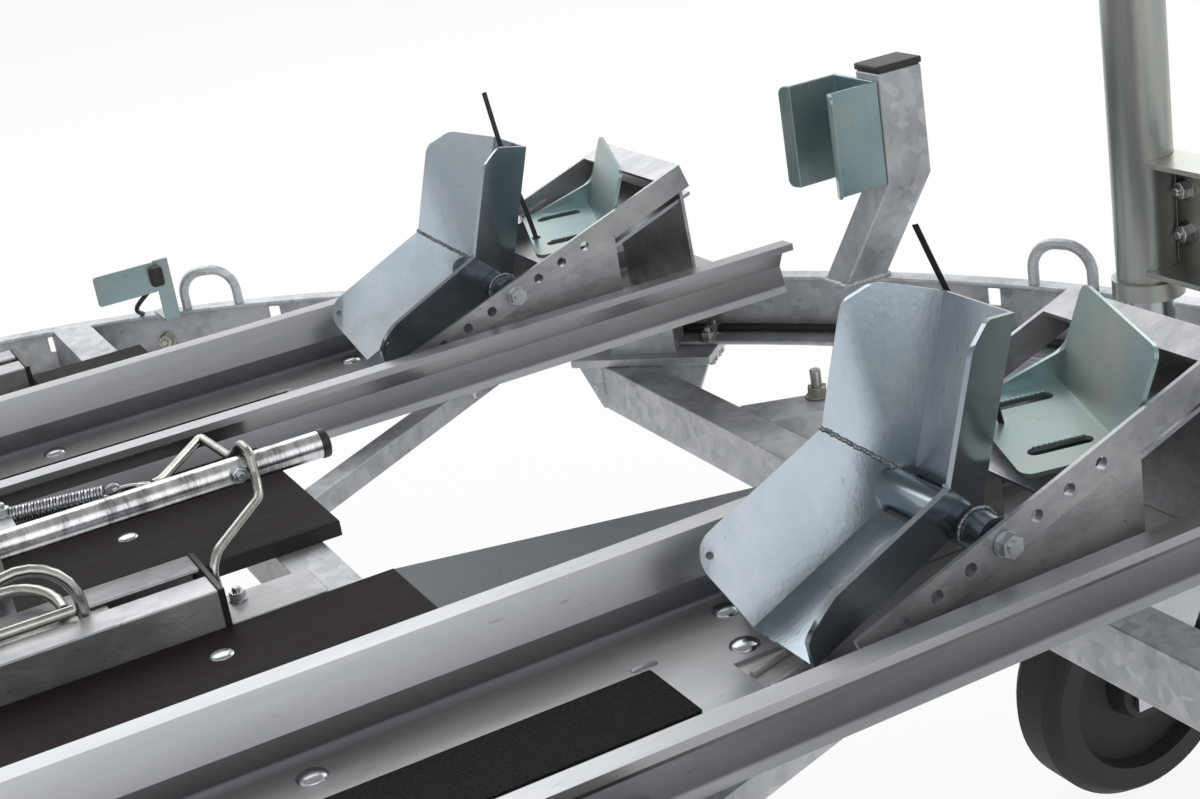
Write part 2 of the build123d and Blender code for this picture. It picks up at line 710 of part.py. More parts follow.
# Axle beam, trailing arms and wheels
axle_end = bay_beam_y + 20
axle_top = axle_height + axle_side / 2
axle_ends = ((trailing_arm, -axle_end), (trailing_arm, axle_end))
axle = tube_between(*axle_ends, axle_top, axle_side, axle_side, axle_wall)
arms = []
for name, sign in sides:
    seat_y = (sign * (bay_beam_y - 18), sign * (bay_beam_y + 18))
    seat_top = frame_top - cross_height - rest_gap
    axle += box_span(trailing_arm - 45, trailing_arm + 45, *seat_y, axle_top, seat_top)
    arm_outer = axle_end + rest_gap + arm_thickness
    y0, y1 = sorted((sign * (axle_end + rest_gap), sign * arm_outer))
    outline = make_hull(
        (Pos(trailing_arm, axle_height) * CenterArc((0, 0), 42, 0, 360)).edges()
        + (Pos(0, tyre_radius) * CenterArc((0, 0), 32, 0, 360)).edges()
    )
    arm = extrude(Plane.XZ.offset(-y1) * outline, y1 - y0)
    arm += cylinder_y(spindle_radius, sign * arm_outer, sign * (wheel_y + 20), 0, tyre_radius)
    arms.append(arm)
    tyre_half, rim_half = tyre_width / 2, rim_width / 2
    tyre_side = [
        (bead_radius, rim_half - 10),
        (bead_radius + 48, tyre_half),
        (tyre_radius - 12, tyre_half - 11.5),
        (tyre_radius, 0),
    ]
    tyre_section = tyre_side + [(r, -y) for r, y in tyre_side[-2::-1]]
    wheel_place = Pos(0, sign * wheel_y, tyre_radius)
    save(wheel_place * revolve(polygon(tyre_section), Axis.Y), "tyre_" + name)
    flange_y = rim_half - rim_sheet
    barrel = [
        (rim_radius + 10, -flange_y),
        (rim_radius, -flange_y),
        (rim_radius, -24),
        (well_radius, -14),
        (well_radius, 20),
        (rim_radius, 32),
        (rim_radius, flange_y),
        (rim_radius + 10, flange_y),
    ]
    disc = [(well_radius - 1, 2), (hub_radius + 26, 18), (hub_radius + 16, 31), (30, 31)]
    rim = None
    for line in (barrel, disc):
        ring = revolve(polygon([(r, sign * y) for r, y in offset_line(line, rim_sheet)]), Axis.Y)
        rim = ring if rim is None else rim + ring
    for index in range(stud_count):
        turn = 2 * math.pi * index / stud_count
        at = Pos(stud_circle * math.cos(turn), sign * 31, stud_circle * math.sin(turn))
        rim -= at * Rot(90, 0, 0) * Cylinder(stud_radius + 0.5, 30)
    save(wheel_place * rim, "rim_" + name)
    hub = cylinder_y(hub_radius, sign * -30, sign * (27 - rest_gap), 0, 0)
    hub += cylinder_y(26, sign * 26, sign * 58, 0, 0)
    hub -= cylinder_y(spindle_radius + running_gap, sign * -40, sign * 24, 0, 0)
    for index in range(stud_count):
        turn = 2 * math.pi * index / stud_count
        stud_at = (stud_circle * math.cos(turn), stud_circle * math.sin(turn))
        hub += cylinder_y(stud_radius, sign * 20, sign * 48, *stud_at)
    save(wheel_place * hub, "hub_" + name)
save(axle, "axle_beam")
save(arms, "trailing_arms")


# Mudguards, arched between the crossbeams at the ends of the wheel bays
def arch(inset):
    """Side view of a mudguard, moved in from its outer skin."""
    half_length = deck_cross_x[1] - rest_gap - inset
    rise = guard_top - guard_springing - inset
    top = EllipticalCenterArc((0, guard_springing), half_length, rise, start_angle=0, arc_size=180)
    corners = [(-half_length, guard_bottom), (half_length, guard_bottom)]
    legs = Polyline((-half_length, guard_springing), *corners, (half_length, guard_springing))
    return make_face(Curve() + [top, legs])


arch_ring = arch(0) - arch(guard_sheet)
arch_ring -= Pos(0, guard_bottom) * Rectangle(2 * deck_cross_x[1] - 30, 2 * guard_sheet)
guard = extrude(Plane.XZ * arch_ring, guard_width / 2, both=True)
save([Pos(0, sign * wheel_y, 0) * guard for name, sign in sides], "mudguards")

# Holder posts on the bow, each with a cradle
post_size = (post_depth, post_width)
posts, caps, cradles = [], [], []
for name, sign in sides:
    head_x, head_y = post_head[0], sign * post_head[1]
    base_face = Pos(post_base[0], sign * post_base[1], frame_top + rest_gap) * Rectangle(*post_size)
    post = loft([base_face, Pos(head_x, head_y, post_knee) * Rectangle(*post_size)])
    post += Pos(head_x, head_y, (post_knee + post_top) / 2) * Box(*post_size, post_top - post_knee)
    posts.append(post)
    cap_place = Pos(post_head[0], sign * post_head[1], post_top + post_cap / 2 + rest_gap)
    caps.append(cap_place * Box(post_depth + 1, post_width + 1, post_cap))
    rear_x = post_head[0] - post_depth / 2 - rest_gap
    inner = post_head[1] - post_width / 2 + 2
    line = [
        (rear_x - cradle_depth - 4, inner - cradle_lip),
        (rear_x - cradle_depth, inner),
        (rear_x, inner),
        (rear_x, inner + cradle_width),
        (rear_x - cradle_depth, inner + cradle_width),
        (rear_x - cradle_depth - 4, inner + cradle_width + cradle_lip),
    ]
    outline = polygon([(x, sign * y) for x, y in offset_line(line, sheet)])
    cradle = extrude(outline, cradle_height, dir=(0, 0, 1))
    cradles.append(Pos(0, 0, post_top - post_cap - cradle_height) * cradle)
save(posts, "holder_posts")
save(caps, "post_caps")
save(cradles, "post_cradles")

# Lashing hoops of bent rod on the frame's top edge
hoop_line = FilletPolyline(
    (0, -hoop_width / 2, 0),
    (0, -hoop_width / 2, hoop_height),
    (0, hoop_width / 2, hoop_height),
    (0, hoop_width / 2, 0),
    radius=hoop_width * 0.42,
)
hoop_section = Plane(origin=hoop_line @ 0, z_dir=hoop_line % 0) * RegularPolygon(hoop_rod, hoop_sides)
hoop = Pos(0, 0, frame_top + rest_gap) * sweep(hoop_section, path=hoop_line)
hoops = [on_bow(angle, hoop_inset) * hoop for angle in hoop_angles]
for name, sign in sides:
    for x in hoop_side_x:
        hoops.append(Pos(x, sign * (side_y - hoop_inset), 0) * Rot(0, 0, sign * 90) * hoop)
save(hoops, "lashing_hoops")

# Stowed tube on two feet
stow_middle = Pos((stow_front_x + stow_rear_x) / 2, stow_y, stow_z) * Rot(0, 90, 0)
stow_length = stow_front_x - stow_rear_x
stow = stow_middle * Cylinder(stow_radius, stow_length)
for x in (deck_cross_x[1], deck_cross_x[2]):
    stow += box_span(x, x + cross_width, stow_y - 8, stow_y + 8, plank_top + rest_gap, stow_z)
save(stow - stow_middle * Cylinder(stow_radius - 2, stow_length + 2), "stowed_tube")

# Rear lamps, plate holder and the cable laid in the frame's channel
lamps = []
for name, sign in sides:
    lamp_middle = (frame_rear_x - rest_gap - lamp_size[0] / 2, sign * lamp_y, lamp_z)
    lamp = Pos(*lamp_middle) * Box(*lamp_size)
    lamps.append(fillet(lamp.edges().group_by(Axis.X)[0], 8))
save(lamps, "rear_lamps")
plate_x = (frame_rear_x - rest_gap - plate_depth, frame_rear_x - rest_gap)
plate_z = (frame_bottom - plate_drop, frame_bottom + plate_rise)
save(box_span(*plate_x, -plate_half, plate_half, *plate_z), "plate_holder")
cable_z = frame_bottom + beam_wall + cable_radius + rest_gap
cable_rear = frame_rear_x + cable_inset
cable_side = side_y - cable_inset
bend_x, bend_y = cable_rear + cable_corner, cable_side - cable_corner
cable_line = frame_edges(cable_inset)[:3]
cable_line.append(Line((bow_centre_x, cable_side), (bend_x, cable_side)))
cable_line.append(CenterArc((bend_x, bend_y), cable_corner, 90, 90))
cable_line.append(Line((cable_rear, bend_y), (cable_rear, -lamp_y)))
path = Wire([Pos(0, 0, cable_z) * edge for edge in cable_line])
cable_section = Plane(origin=path @ 0, z_dir=path % 0) * RegularPolygon(cable_radius, cable_sides)
save(sweep(cable_section, path=path), "lamp_cable")
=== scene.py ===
import bpy
import json
import math
import random
from mathutils import Euler, Matrix, Vector
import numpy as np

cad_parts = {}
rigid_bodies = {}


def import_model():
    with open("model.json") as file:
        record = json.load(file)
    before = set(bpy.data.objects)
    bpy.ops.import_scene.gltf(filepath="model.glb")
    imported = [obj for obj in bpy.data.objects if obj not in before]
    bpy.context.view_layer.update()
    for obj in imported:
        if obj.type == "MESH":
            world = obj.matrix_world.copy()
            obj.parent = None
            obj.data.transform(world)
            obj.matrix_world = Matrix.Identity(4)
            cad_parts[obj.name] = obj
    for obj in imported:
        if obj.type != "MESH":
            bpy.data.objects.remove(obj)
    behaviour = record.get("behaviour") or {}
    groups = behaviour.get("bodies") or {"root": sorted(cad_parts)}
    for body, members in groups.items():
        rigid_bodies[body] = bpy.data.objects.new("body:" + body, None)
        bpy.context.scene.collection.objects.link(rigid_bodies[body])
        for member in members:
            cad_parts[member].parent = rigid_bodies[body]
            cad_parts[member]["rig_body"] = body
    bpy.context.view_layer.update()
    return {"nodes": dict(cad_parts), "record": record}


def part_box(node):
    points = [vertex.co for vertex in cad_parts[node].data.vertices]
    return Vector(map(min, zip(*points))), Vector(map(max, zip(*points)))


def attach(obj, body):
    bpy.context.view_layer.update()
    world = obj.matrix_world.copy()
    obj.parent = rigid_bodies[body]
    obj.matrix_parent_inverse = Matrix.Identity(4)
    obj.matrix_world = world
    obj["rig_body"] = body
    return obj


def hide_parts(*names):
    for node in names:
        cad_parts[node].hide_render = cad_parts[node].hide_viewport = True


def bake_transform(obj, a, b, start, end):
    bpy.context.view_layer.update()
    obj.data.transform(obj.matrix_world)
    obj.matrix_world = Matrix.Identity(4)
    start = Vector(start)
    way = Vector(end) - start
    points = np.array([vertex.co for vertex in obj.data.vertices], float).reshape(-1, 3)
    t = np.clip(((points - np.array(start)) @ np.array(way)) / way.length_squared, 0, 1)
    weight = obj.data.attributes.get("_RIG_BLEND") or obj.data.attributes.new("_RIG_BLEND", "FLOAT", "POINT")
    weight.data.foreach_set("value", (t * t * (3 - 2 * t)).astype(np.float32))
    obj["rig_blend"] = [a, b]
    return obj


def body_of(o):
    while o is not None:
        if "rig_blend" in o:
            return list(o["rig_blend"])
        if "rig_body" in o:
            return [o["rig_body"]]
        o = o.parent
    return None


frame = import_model()
nodes = frame["nodes"]
random.seed(7)
tyreLow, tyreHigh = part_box("tyre_left")
axleX = (tyreLow.x + tyreHigh.x) / 2  # places along the trailer count from the wheel axis
rowNames = ("left", "centre", "right")  # of the rails, chocks and rockers
print("frame loaded,", len(nodes), "pieces")


# Working by hand: places, selections and edit mode
def place(x, y, z):
    return Vector((axleX + x, y, z))


def choose(*pieces):
    bpy.ops.object.select_all(action="DESELECT")
    for piece in pieces:
        piece.select_set(True)
    bpy.context.view_layer.objects.active = pieces[0]


def pick(piece, kind, test):
    # ends in edit mode, with what passes the test selected
    choose(piece)
    bpy.ops.object.mode_set(mode="EDIT")
    bpy.ops.mesh.select_mode(type=kind)
    bpy.ops.mesh.select_all(action="DESELECT")
    bpy.ops.object.mode_set(mode="OBJECT")
    parts = {"VERT": piece.data.vertices, "EDGE": piece.data.edges, "FACE": piece.data.polygons}[kind]
    for part in parts:
        part.select = test(part)
    bpy.ops.object.mode_set(mode="EDIT")


def editAll(piece):
    choose(piece)
    bpy.ops.object.mode_set(mode="EDIT")
    bpy.ops.mesh.select_all(action="SELECT")


def leaveEdit():
    bpy.ops.object.mode_set(mode="OBJECT")


def settlePlace(piece):
    choose(piece)
    bpy.ops.object.transform_apply(location=True, rotation=True, scale=True)


def applyModifiers(piece):
    choose(piece)
    for modifier in list(piece.modifiers):
        bpy.ops.object.modifier_apply(modifier=modifier.name)


def soften(piece, width, segments=2):
    # rounds the sharp edges and keeps the flats flat
    choose(piece)
    bpy.ops.object.shade_smooth()
    bevel = piece.modifiers.new("edges", "BEVEL")
    bevel.width = width
    bevel.segments = segments
    bevel.limit_method = "ANGLE"
    bevel.angle_limit = math.radians(30)
    weighted = piece.modifiers.new("normals", "WEIGHTED_NORMAL")
    weighted.weight = 80
    applyModifiers(piece)


def joinPieces(pieces):
    choose(*pieces)
    bpy.ops.object.join()
    return bpy.context.object


def startBlock(size, middle):
    bpy.ops.object.select_all(action="DESELECT")
    bpy.ops.mesh.primitive_cube_add(size=1, location=middle, scale=size)
    block = bpy.context.object
    settlePlace(block)
    return block


def startRound(radius, depth, sides=24, middle=(0, 0, 0), facing=(0, 0, 1)):
    bpy.ops.object.select_all(action="DESELECT")
    bpy.ops.mesh.primitive_cylinder_add(vertices=sides, radius=radius, depth=depth)
    piece = bpy.context.object
    turn = Vector((0, 0, 1)).rotation_difference(Vector(facing)).to_matrix().to_4x4()
    piece.matrix_world = Matrix.Translation(middle) @ turn
    settlePlace(piece)
    return piece


def cutPlate(size, middle, rounding, corner=0.0, segments=2):
    # a block with soft edges, and its corners rounded across its thinnest way
    plate = startBlock(size, middle)
    thin = size.index(min(size))

    def isCorner(edge):
        start, end = [plate.data.vertices[i].co for i in edge.vertices]
        return abs(start[thin] - end[thin]) > 0.001

    if corner:
        pick(plate, "EDGE", isCorner)
        bpy.ops.mesh.bevel(offset=corner, segments=4)
        leaveEdit()
    soften(plate, rounding, segments)
    return plate


def insetFaces(piece, facing, thickness, raised=0.0):
    # a smaller face in each one that looks that way, raised or sunk along it
    way = Vector(facing)
    pick(piece, "FACE", lambda face: face.normal.dot(way) > 0.9)
    bpy.ops.mesh.inset(thickness=thickness)
    bpy.ops.transform.translate(value=way * raised)
    leaveEdit()


def roundOutline(piece, radius, sharpest, across):
    # the corners of a sheet's outline, picked by the angle there and the length across the sheet
    sides = {}
    for face in piece.data.polygons:
        for key in face.edge_keys:
            sides.setdefault(key, []).append(face.normal.copy())

    def isCorner(edge):
        start, end = [piece.data.vertices[i].co for i in edge.vertices]
        pair = sides[tuple(sorted(edge.vertices))]
        if len(pair) != 2 or not across[0] < (end - start).length < across[1]:
            return False
        return math.radians(38) < pair[0].angle(pair[1]) < math.radians(sharpest)

    pick(piece, "EDGE", isCorner)
    bpy.ops.mesh.bevel(offset=radius, segments=5)
    leaveEdit()


def newObject(name, data):
    piece = bpy.data.objects.new(name, data)
    bpy.context.scene.collection.objects.link(piece)
    return piece


def chain(points, closed=False):
    # a line of points, as a start for rods, straps and turned shapes
    count = len(points)
    edges = [(i, (i + 1) % count) for i in range(count if closed else count - 1)]
    mesh = bpy.data.meshes.new("line")
    mesh.from_pydata([tuple(p) for p in points], edges, [])
    return newObject("line", mesh)


def spinSection(section, steps):
    # turns a closed outline of (radius, y) about the Y axis
    piece = chain([(radius, y, 0) for radius, y in section], True)
    editAll(piece)
    bpy.ops.mesh.spin(steps=steps, angle=2 * math.pi, center=(0, 0, 0), axis=(0, 1, 0))
    bpy.ops.mesh.select_all(action="SELECT")
    bpy.ops.mesh.remove_doubles(threshold=0.00005)
    bpy.ops.mesh.normals_make_consistent(inside=False)
    leaveEdit()
    return piece


def smoothLine(points, radius, width=0.0, resolution=4, caps=True):
    # a round lead, or with a width a flat strap, on a smooth curve
    choose(chain(points))
    bpy.ops.object.convert(target="CURVE")
    curve = bpy.context.object.data
    curve.splines[0].type = "NURBS"
    curve.splines[0].order_u = 3
    curve.splines[0].use_endpoint_u = True
    curve.extrude = width
    curve.bevel_depth = radius
    curve.bevel_resolution = resolution
    curve.use_fill_caps = caps
    bpy.ops.object.convert(target="MESH")
    return bpy.context.object


def bentRod(points, radius, bend=0.0, sides=3):
    line = chain(points)
    if bend:
        pick(line, "VERT", lambda vertex: 0 < vertex.index < len(points) - 1)
        bpy.ops.mesh.bevel(offset=bend, segments=6, affect="VERTICES")
        leaveEdit()
    choose(line)
    bpy.ops.object.convert(target="CURVE")
    rod = bpy.context.object
    rod.data.bevel_depth = radius
    rod.data.bevel_resolution = sides
    rod.data.use_fill_caps = True
    bpy.ops.object.convert(target="MESH")
    rod = bpy.context.object
    bpy.ops.object.shade_smooth_by_angle(angle=math.radians(50))
    return rod


def repeatPiece(model, spots):
    # spots are (place, way up, turn about it)
    settlePlace(model)
    twins = []
    for spot, facing, turn in spots:
        twin = newObject("twin", model.data.copy())
        up = Vector((0, 0, 1)).rotation_difference(Vector(facing)).to_matrix().to_4x4()
        twin.matrix_world = Matrix.Translation(spot) @ up @ Matrix.Rotation(math.radians(turn), 4, "Z")
        twins.append(twin)
    bpy.data.objects.remove(model)
    for twin in twins:
        settlePlace(twin)
    return joinPieces(twins)


def bothSides(places, facing, turn):
    # spots for repeatPiece on the left and mirrored on the right
    spots = []
    for side in (1, -1):
        way = (facing[0], side * facing[1], facing[2])
        spots += [(place(x, side * y, z), way, turn) for x, y, z in places]
    return spots


def fit(piece, name, body, material=None):
    settlePlace(piece)
    piece.name = name
    if material:
        piece.data.materials.clear()
        piece.data.materials.append(material)
    if body:
        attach(piece, body)
    return piece


def fitFasteners(model, spots, name, material, body="frame"):
    fit(repeatPiece(model, spots), name, body, material)


# Materials
def newMaterial(name):
    material = bpy.data.materials.new(name)
    material.use_nodes = True
    tree = material.node_tree
    tree.nodes.clear()
    output = tree.nodes.new("ShaderNodeOutputMaterial")
    shader = tree.nodes.new("ShaderNodeBsdfPrincipled")
    tree.links.new(shader.outputs["BSDF"], output.inputs["Surface"])
    return material, tree, shader


def objectCoordinates(tree, scale):
    spot = tree.nodes.new("ShaderNodeTexCoord")
    mapping = tree.nodes.new("ShaderNodeMapping")
    mapping.inputs["Scale"].default_value = scale
    tree.links.new(spot.outputs["Object"], mapping.inputs["Vector"])
    return mapping.outputs["Vector"]


def startGroup(name, inputs, outputs):
    group = bpy.data.node_groups.new(name, "ShaderNodeTree")
    for label, kind, value in inputs:
        socket = group.interface.new_socket(name=label, in_out="INPUT", socket_type=kind)
        if value is not None:
            socket.default_value = value
    for label, kind in outputs:
        group.interface.new_socket(name=label, in_out="OUTPUT", socket_type=kind)
    return group, group.nodes.new("NodeGroupInput"), group.nodes.new("NodeGroupOutput")


def noiseNode(tree, vector, scale, detail, roughness=0.55):
    noise = tree.nodes.new("ShaderNodeTexNoise")
    noise.inputs["Detail"].default_value = detail
    noise.inputs["Roughness"].default_value = roughness
    if isinstance(scale, float):
        noise.inputs["Scale"].default_value = scale
    else:
        tree.links.new(scale, noise.inputs["Scale"])
    tree.links.new(vector, noise.inputs["Vector"])
    return noise.outputs["Fac"]


def rampNode(tree, value, stops):
    ramp = tree.nodes.new("ShaderNodeValToRGB")
    elements = ramp.color_ramp.elements
    while len(elements) < len(stops):
        elements.new(0.5)
    for element, (position, color) in zip(elements, stops):
        element.position = position
        element.color = (*color, 1)
    tree.links.new(value, ramp.inputs["Fac"])
    return ramp.outputs["Color"]


def rangeNode(tree, value, start, end, low, high):
    node = tree.nodes.new("ShaderNodeMapRange")
    for label, number in (("From Min", start), ("From Max", end), ("To Min", low), ("To Max", high)):
        node.inputs[label].default_value = number
    tree.links.new(value, node.inputs["Value"])
    return node.outputs["Result"]


def mathNode(tree, kind, first, second):
    node = tree.nodes.new("ShaderNodeMath")
    node.operation = kind
    for index, value in enumerate((first, second)):
        if isinstance(value, (int, float)):
            node.inputs[index].default_value = value
        else:
            tree.links.new(value, node.inputs[index])
    return node.outputs["Value"]


def mixNode(tree, share, color, over):
    mix = tree.nodes.new("ShaderNodeMix")
    mix.data_type = "RGBA"
    tree.links.new(share, mix.inputs["Factor"])
    tree.links.new(color, mix.inputs["A"])
    mix.inputs["B"].default_value = (*over, 1)
    return mix.outputs["Result"]


def bumpNode(tree, shader, height, strength, depth=0.0005):
    bump = tree.nodes.new("ShaderNodeBump")
    bump.inputs["Strength"].default_value = strength
    bump.inputs["Distance"].default_value = depth
    tree.links.new(height, bump.inputs["Height"])
    tree.links.new(bump.outputs["Normal"], shader.inputs["Normal"])


# Zinc coats: spangle and clouds of the coat, dark specks of dirt, fine grain for the bump
zincCoat, coatIn, coatOut = startGroup(
    "zincCoat",
    [
        ("Vector", "NodeSocketVector", None),
        ("Spangle Scale", "NodeSocketFloat", 90.0),
        ("Spangle Share", "NodeSocketFloat", 0.2),
        ("Cloud Scale", "NodeSocketFloat", 9.0),
    ],
    [(label, "NodeSocketFloat") for label in ("Tone", "Cloud", "Dirt", "Grain")],
)
spangle = zincCoat.nodes.new("ShaderNodeTexVoronoi")
zincCoat.links.new(coatIn.outputs["Vector"], spangle.inputs["Vector"])
zincCoat.links.new(coatIn.outputs["Spangle Scale"], spangle.inputs["Scale"])
spangleGrey = zincCoat.nodes.new("ShaderNodeSeparateColor")
zincCoat.links.new(spangle.outputs["Color"], spangleGrey.inputs["Color"])
cloud = noiseNode(zincCoat, coatIn.outputs["Vector"], coatIn.outputs["Cloud Scale"], 6.0, 0.6)
spangleShare = mathNode(zincCoat, "MULTIPLY", spangleGrey.outputs["Red"], coatIn.outputs["Spangle Share"])
cloudShare = mathNode(zincCoat, "ADD", cloud, spangleShare)
dirtCloud = noiseNode(zincCoat, coatIn.outputs["Vector"], 140.0, 3.0, 0.7)
dirt = rangeNode(zincCoat, dirtCloud, 0.66, 0.74, 0.0, 1.0)
grain = noiseNode(zincCoat, coatIn.outputs["Vector"], 420.0, 3.0)
for label, value in (("Tone", cloudShare), ("Cloud", cloud), ("Dirt", dirt), ("Grain", grain)):
    zincCoat.links.new(value, coatOut.inputs[label])
zincDefaults = {
    "metallic": 0.8, "spangle": 0.03, "spangleScale": 60, "bump": 0.12, "dirt": 0.25, "stretch": (1, 1, 1),
    # dirtColor is for the specks; the other colour is the painted shade put low on rail walls
    "dirtColor": (0.06, 0.055, 0.05), "paintedWallShadeColor": (0.05, 0.055, 0.06),
}


def zincMaterial(name, values):
    values = {**zincDefaults, **values}
    material, tree, shader = newMaterial(name)
    link = tree.links.new
    coat = tree.nodes.new("ShaderNodeGroup")
    coat.node_tree = zincCoat
    coat.inputs["Spangle Scale"].default_value = values["spangleScale"]
    coat.inputs["Spangle Share"].default_value = values["spangle"]
    coat.inputs["Cloud Scale"].default_value = values["cloudScale"]
    link(objectCoordinates(tree, values["stretch"]), coat.inputs["Vector"])
    stops = [(0.32, values["dark"]), (0.72, values["light"])]
    if "middle" in values:
        stops.insert(1, (0.5, values["middle"]))
    clean = rampNode(tree, coat.outputs["Tone"], stops)
    specks = mathNode(tree, "MULTIPLY", coat.outputs["Dirt"], values["dirt"])
    color = mixNode(tree, specks, clean, values["dirtColor"])
    if "paintedWallShade" in values:
        # painted shade: the colour is darker low on the walls, from one height to the other, for the shade
        # and dark reflections down in the trough
        low, high, share = values["paintedWallShade"]
        spot = tree.nodes.new("ShaderNodeTexCoord")
        height = tree.nodes.new("ShaderNodeSeparateXYZ")
        link(spot.outputs["Object"], height.inputs["Vector"])
        wall = rangeNode(tree, height.outputs["Z"], low, high, 1.0, 0.0)
        above = rangeNode(tree, height.outputs["Z"], low - 0.003, low - 0.001, 0.0, share)
        color = mixNode(tree, mathNode(tree, "MULTIPLY", wall, above), color, values["paintedWallShadeColor"])
    link(color, shader.inputs["Base Color"])
    link(rangeNode(tree, coat.outputs["Cloud"], 0.3, 0.7, *values["rough"]), shader.inputs["Roughness"])
    shader.inputs["Metallic"].default_value = values["metallic"]
    bumpNode(tree, shader, coat.outputs["Grain"], values["bump"])
    return material


hotDipZinc = zincMaterial("hotDipZinc", {
    "dark": (0.28, 0.30, 0.315), "light": (0.57, 0.59, 0.605), "rough": (0.36, 0.52), "metallic": 0.6,
    "spangle": 0.18, "spangleScale": 110, "cloudScale": 14, "bump": 0.4, "dirt": 0.5,
})
sheetZinc = zincMaterial("sheetZinc", {
    "dark": (0.32, 0.335, 0.345), "light": (0.54, 0.555, 0.565), "rough": (0.27, 0.4), "metallic": 0.72,
    "spangle": 0.04, "cloudScale": 6, "bump": 0.1, "stretch": (0.3, 1.6, 1.6), "dirt": 0.35,
    # painted shade low on the rail walls: where it starts, where it ends, and how strong it is
    "paintedWallShade": (0.405, 0.452, 0.75),
})
infillZinc = zincMaterial("infillZinc", {
    "dark": (0.035, 0.042, 0.050), "light": (0.085, 0.095, 0.107), "rough": (0.34, 0.5),
    "spangle": 0.05, "cloudScale": 9, "bump": 0.3, "dirt": 0.5,
})
beamZinc = zincMaterial("beamZinc", {
    "dark": (0.24, 0.255, 0.265), "light": (0.50, 0.51, 0.52), "rough": (0.3, 0.45), "metallic": 0.75,
    "spangle": 0.1, "spangleScale": 140, "cloudScale": 20, "bump": 0.4, "stretch": (0.6, 1, 1), "dirt": 0.6,
})
rockerZinc = zincMaterial("rockerZinc", {
    "dark": (0.23, 0.285, 0.325), "middle": (0.32, 0.36, 0.40), "light": (0.45, 0.475, 0.50),
    "rough": (0.17, 0.27), "metallic": 0.9, "cloudScale": 7, "stretch": (1, 1, 0.5),
})
brightZinc = zincMaterial("brightZinc", {
    "dark": (0.34, 0.36, 0.38), "light": (0.55, 0.57, 0.58), "rough": (0.18, 0.28), "metallic": 1.0,
    "cloudScale": 8, "bump": 0.06, "dirt": 0.2,
})
# a matte zinc, painted paler as painted light, so that plates standing in shade under the rail windows look
# lit
mattePaintedLightZinc = zincMaterial("mattePaintedLightZinc", {
    "dark": (0.42, 0.43, 0.44), "light": (0.66, 0.67, 0.68), "rough": (0.4, 0.5), "metallic": 0.35,
    "spangle": 0.1, "cloudScale": 30, "bump": 0.1, "dirt": 0.4,
})
greenZinc = zincMaterial("greenZinc", {
    "dark": (0.22, 0.32, 0.34), "middle": (0.28, 0.38, 0.39), "light": (0.40, 0.43, 0.39),
    "rough": (0.26, 0.38), "metallic": 0.75, "cloudScale": 11,
})
jackZinc = zincMaterial("jackZinc", {
    "dark": (0.24, 0.285, 0.275), "middle": (0.33, 0.355, 0.33), "light": (0.45, 0.43, 0.37),
    "rough": (0.26, 0.38), "cloudScale": 9, "stretch": (2.2, 2.2, 0.25), "dirt": 0.15,
})
wireZinc = zincMaterial("wireZinc", {
    "dark": (0.27, 0.28, 0.255), "light": (0.52, 0.53, 0.49), "rough": (0.2, 0.32), "metallic": 1.0,
    "spangleScale": 80, "cloudScale": 40, "bump": 0.1, "dirt": 0.3,
})
tubeZinc = zincMaterial("tubeZinc", {
    "dark": (0.16, 0.165, 0.17), "middle": (0.50, 0.51, 0.52), "light": (0.70, 0.71, 0.72),
    "rough": (0.16, 0.3), "metallic": 1.0, "spangle": 0.12, "spangleScale": 200, "cloudScale": 26,
    "bump": 0.3, "stretch": (2.4, 0.7, 0.7), "dirt": 0.5,
})
weldSteel = zincMaterial("weldSteel", {
    "dark": (0.05, 0.05, 0.055), "light": (0.34, 0.36, 0.38), "rough": (0.3, 0.55), "metallic": 0.9,
    "spangle": 0.4, "spangleScale": 500, "cloudScale": 120, "bump": 0.8, "dirt": 0.8,
})


def plainMaterial(name, values):
    values = {"stretch": (1, 1, 1), "metallic": 0.0, "specular": 0.5, "depth": 0.0005, **values}
    material, tree, shader = newMaterial(name)
    link = tree.links.new
    fine = noiseNode(tree, objectCoordinates(tree, values["stretch"]), float(values["scale"]), 8.0)
    link(rampNode(tree, fine, [(0.32, values["dark"]), (0.7, values["light"])]), shader.inputs["Base Color"])
    rough = values["rough"]
    link(rangeNode(tree, fine, 0.3, 0.7, rough - 0.06, rough + 0.06), shader.inputs["Roughness"])
    shader.inputs["Metallic"].default_value = values["metallic"]
    shader.inputs["Specular IOR Level"].default_value = values["specular"]
    bumpNode(tree, shader, fine, values["bump"], values["depth"])
    return material


blackRubber = plainMaterial("blackRubber", {
    "dark": (0.010, 0.010, 0.010), "light": (0.026, 0.026, 0.026), "rough": 0.7, "scale": 220, "bump": 0.2,
})
gritMat = plainMaterial("gritMat", {
    "dark": (0.004, 0.004, 0.004), "light": (0.030, 0.028, 0.027), "rough": 0.9, "scale": 750, "bump": 1.0,
    "depth": 0.0012, "specular": 0.2,
})
blackPlastic = plainMaterial("blackPlastic", {
    "dark": (0.010, 0.010, 0.011), "light": (0.022, 0.022, 0.024), "rough": 0.45, "scale": 300, "bump": 0.25,
})
redLens = plainMaterial("redLens", {
    "dark": (0.32, 0.008, 0.008), "light": (0.5, 0.02, 0.015), "rough": 0.16, "scale": 30, "bump": 0.05,
})
amberLens = plainMaterial("amberLens", {
    "dark": (0.6, 0.16, 0.01), "light": (0.75, 0.24, 0.02), "rough": 0.16, "scale": 30, "bump": 0.05,
})
clearLens = plainMaterial("clearLens", {
    "dark": (0.55, 0.56, 0.57), "light": (0.7, 0.71, 0.72), "rough": 0.14, "scale": 30, "bump": 0.05,
})
plankFilm = plainMaterial("plankFilm", {
    "dark": (0.010, 0.0062, 0.0066), "light": (0.019, 0.0125, 0.0132), "rough": 0.62, "scale": 60,
    "bump": 0.35, "specular": 0.1, "stretch": (0.5, 3, 3),
})
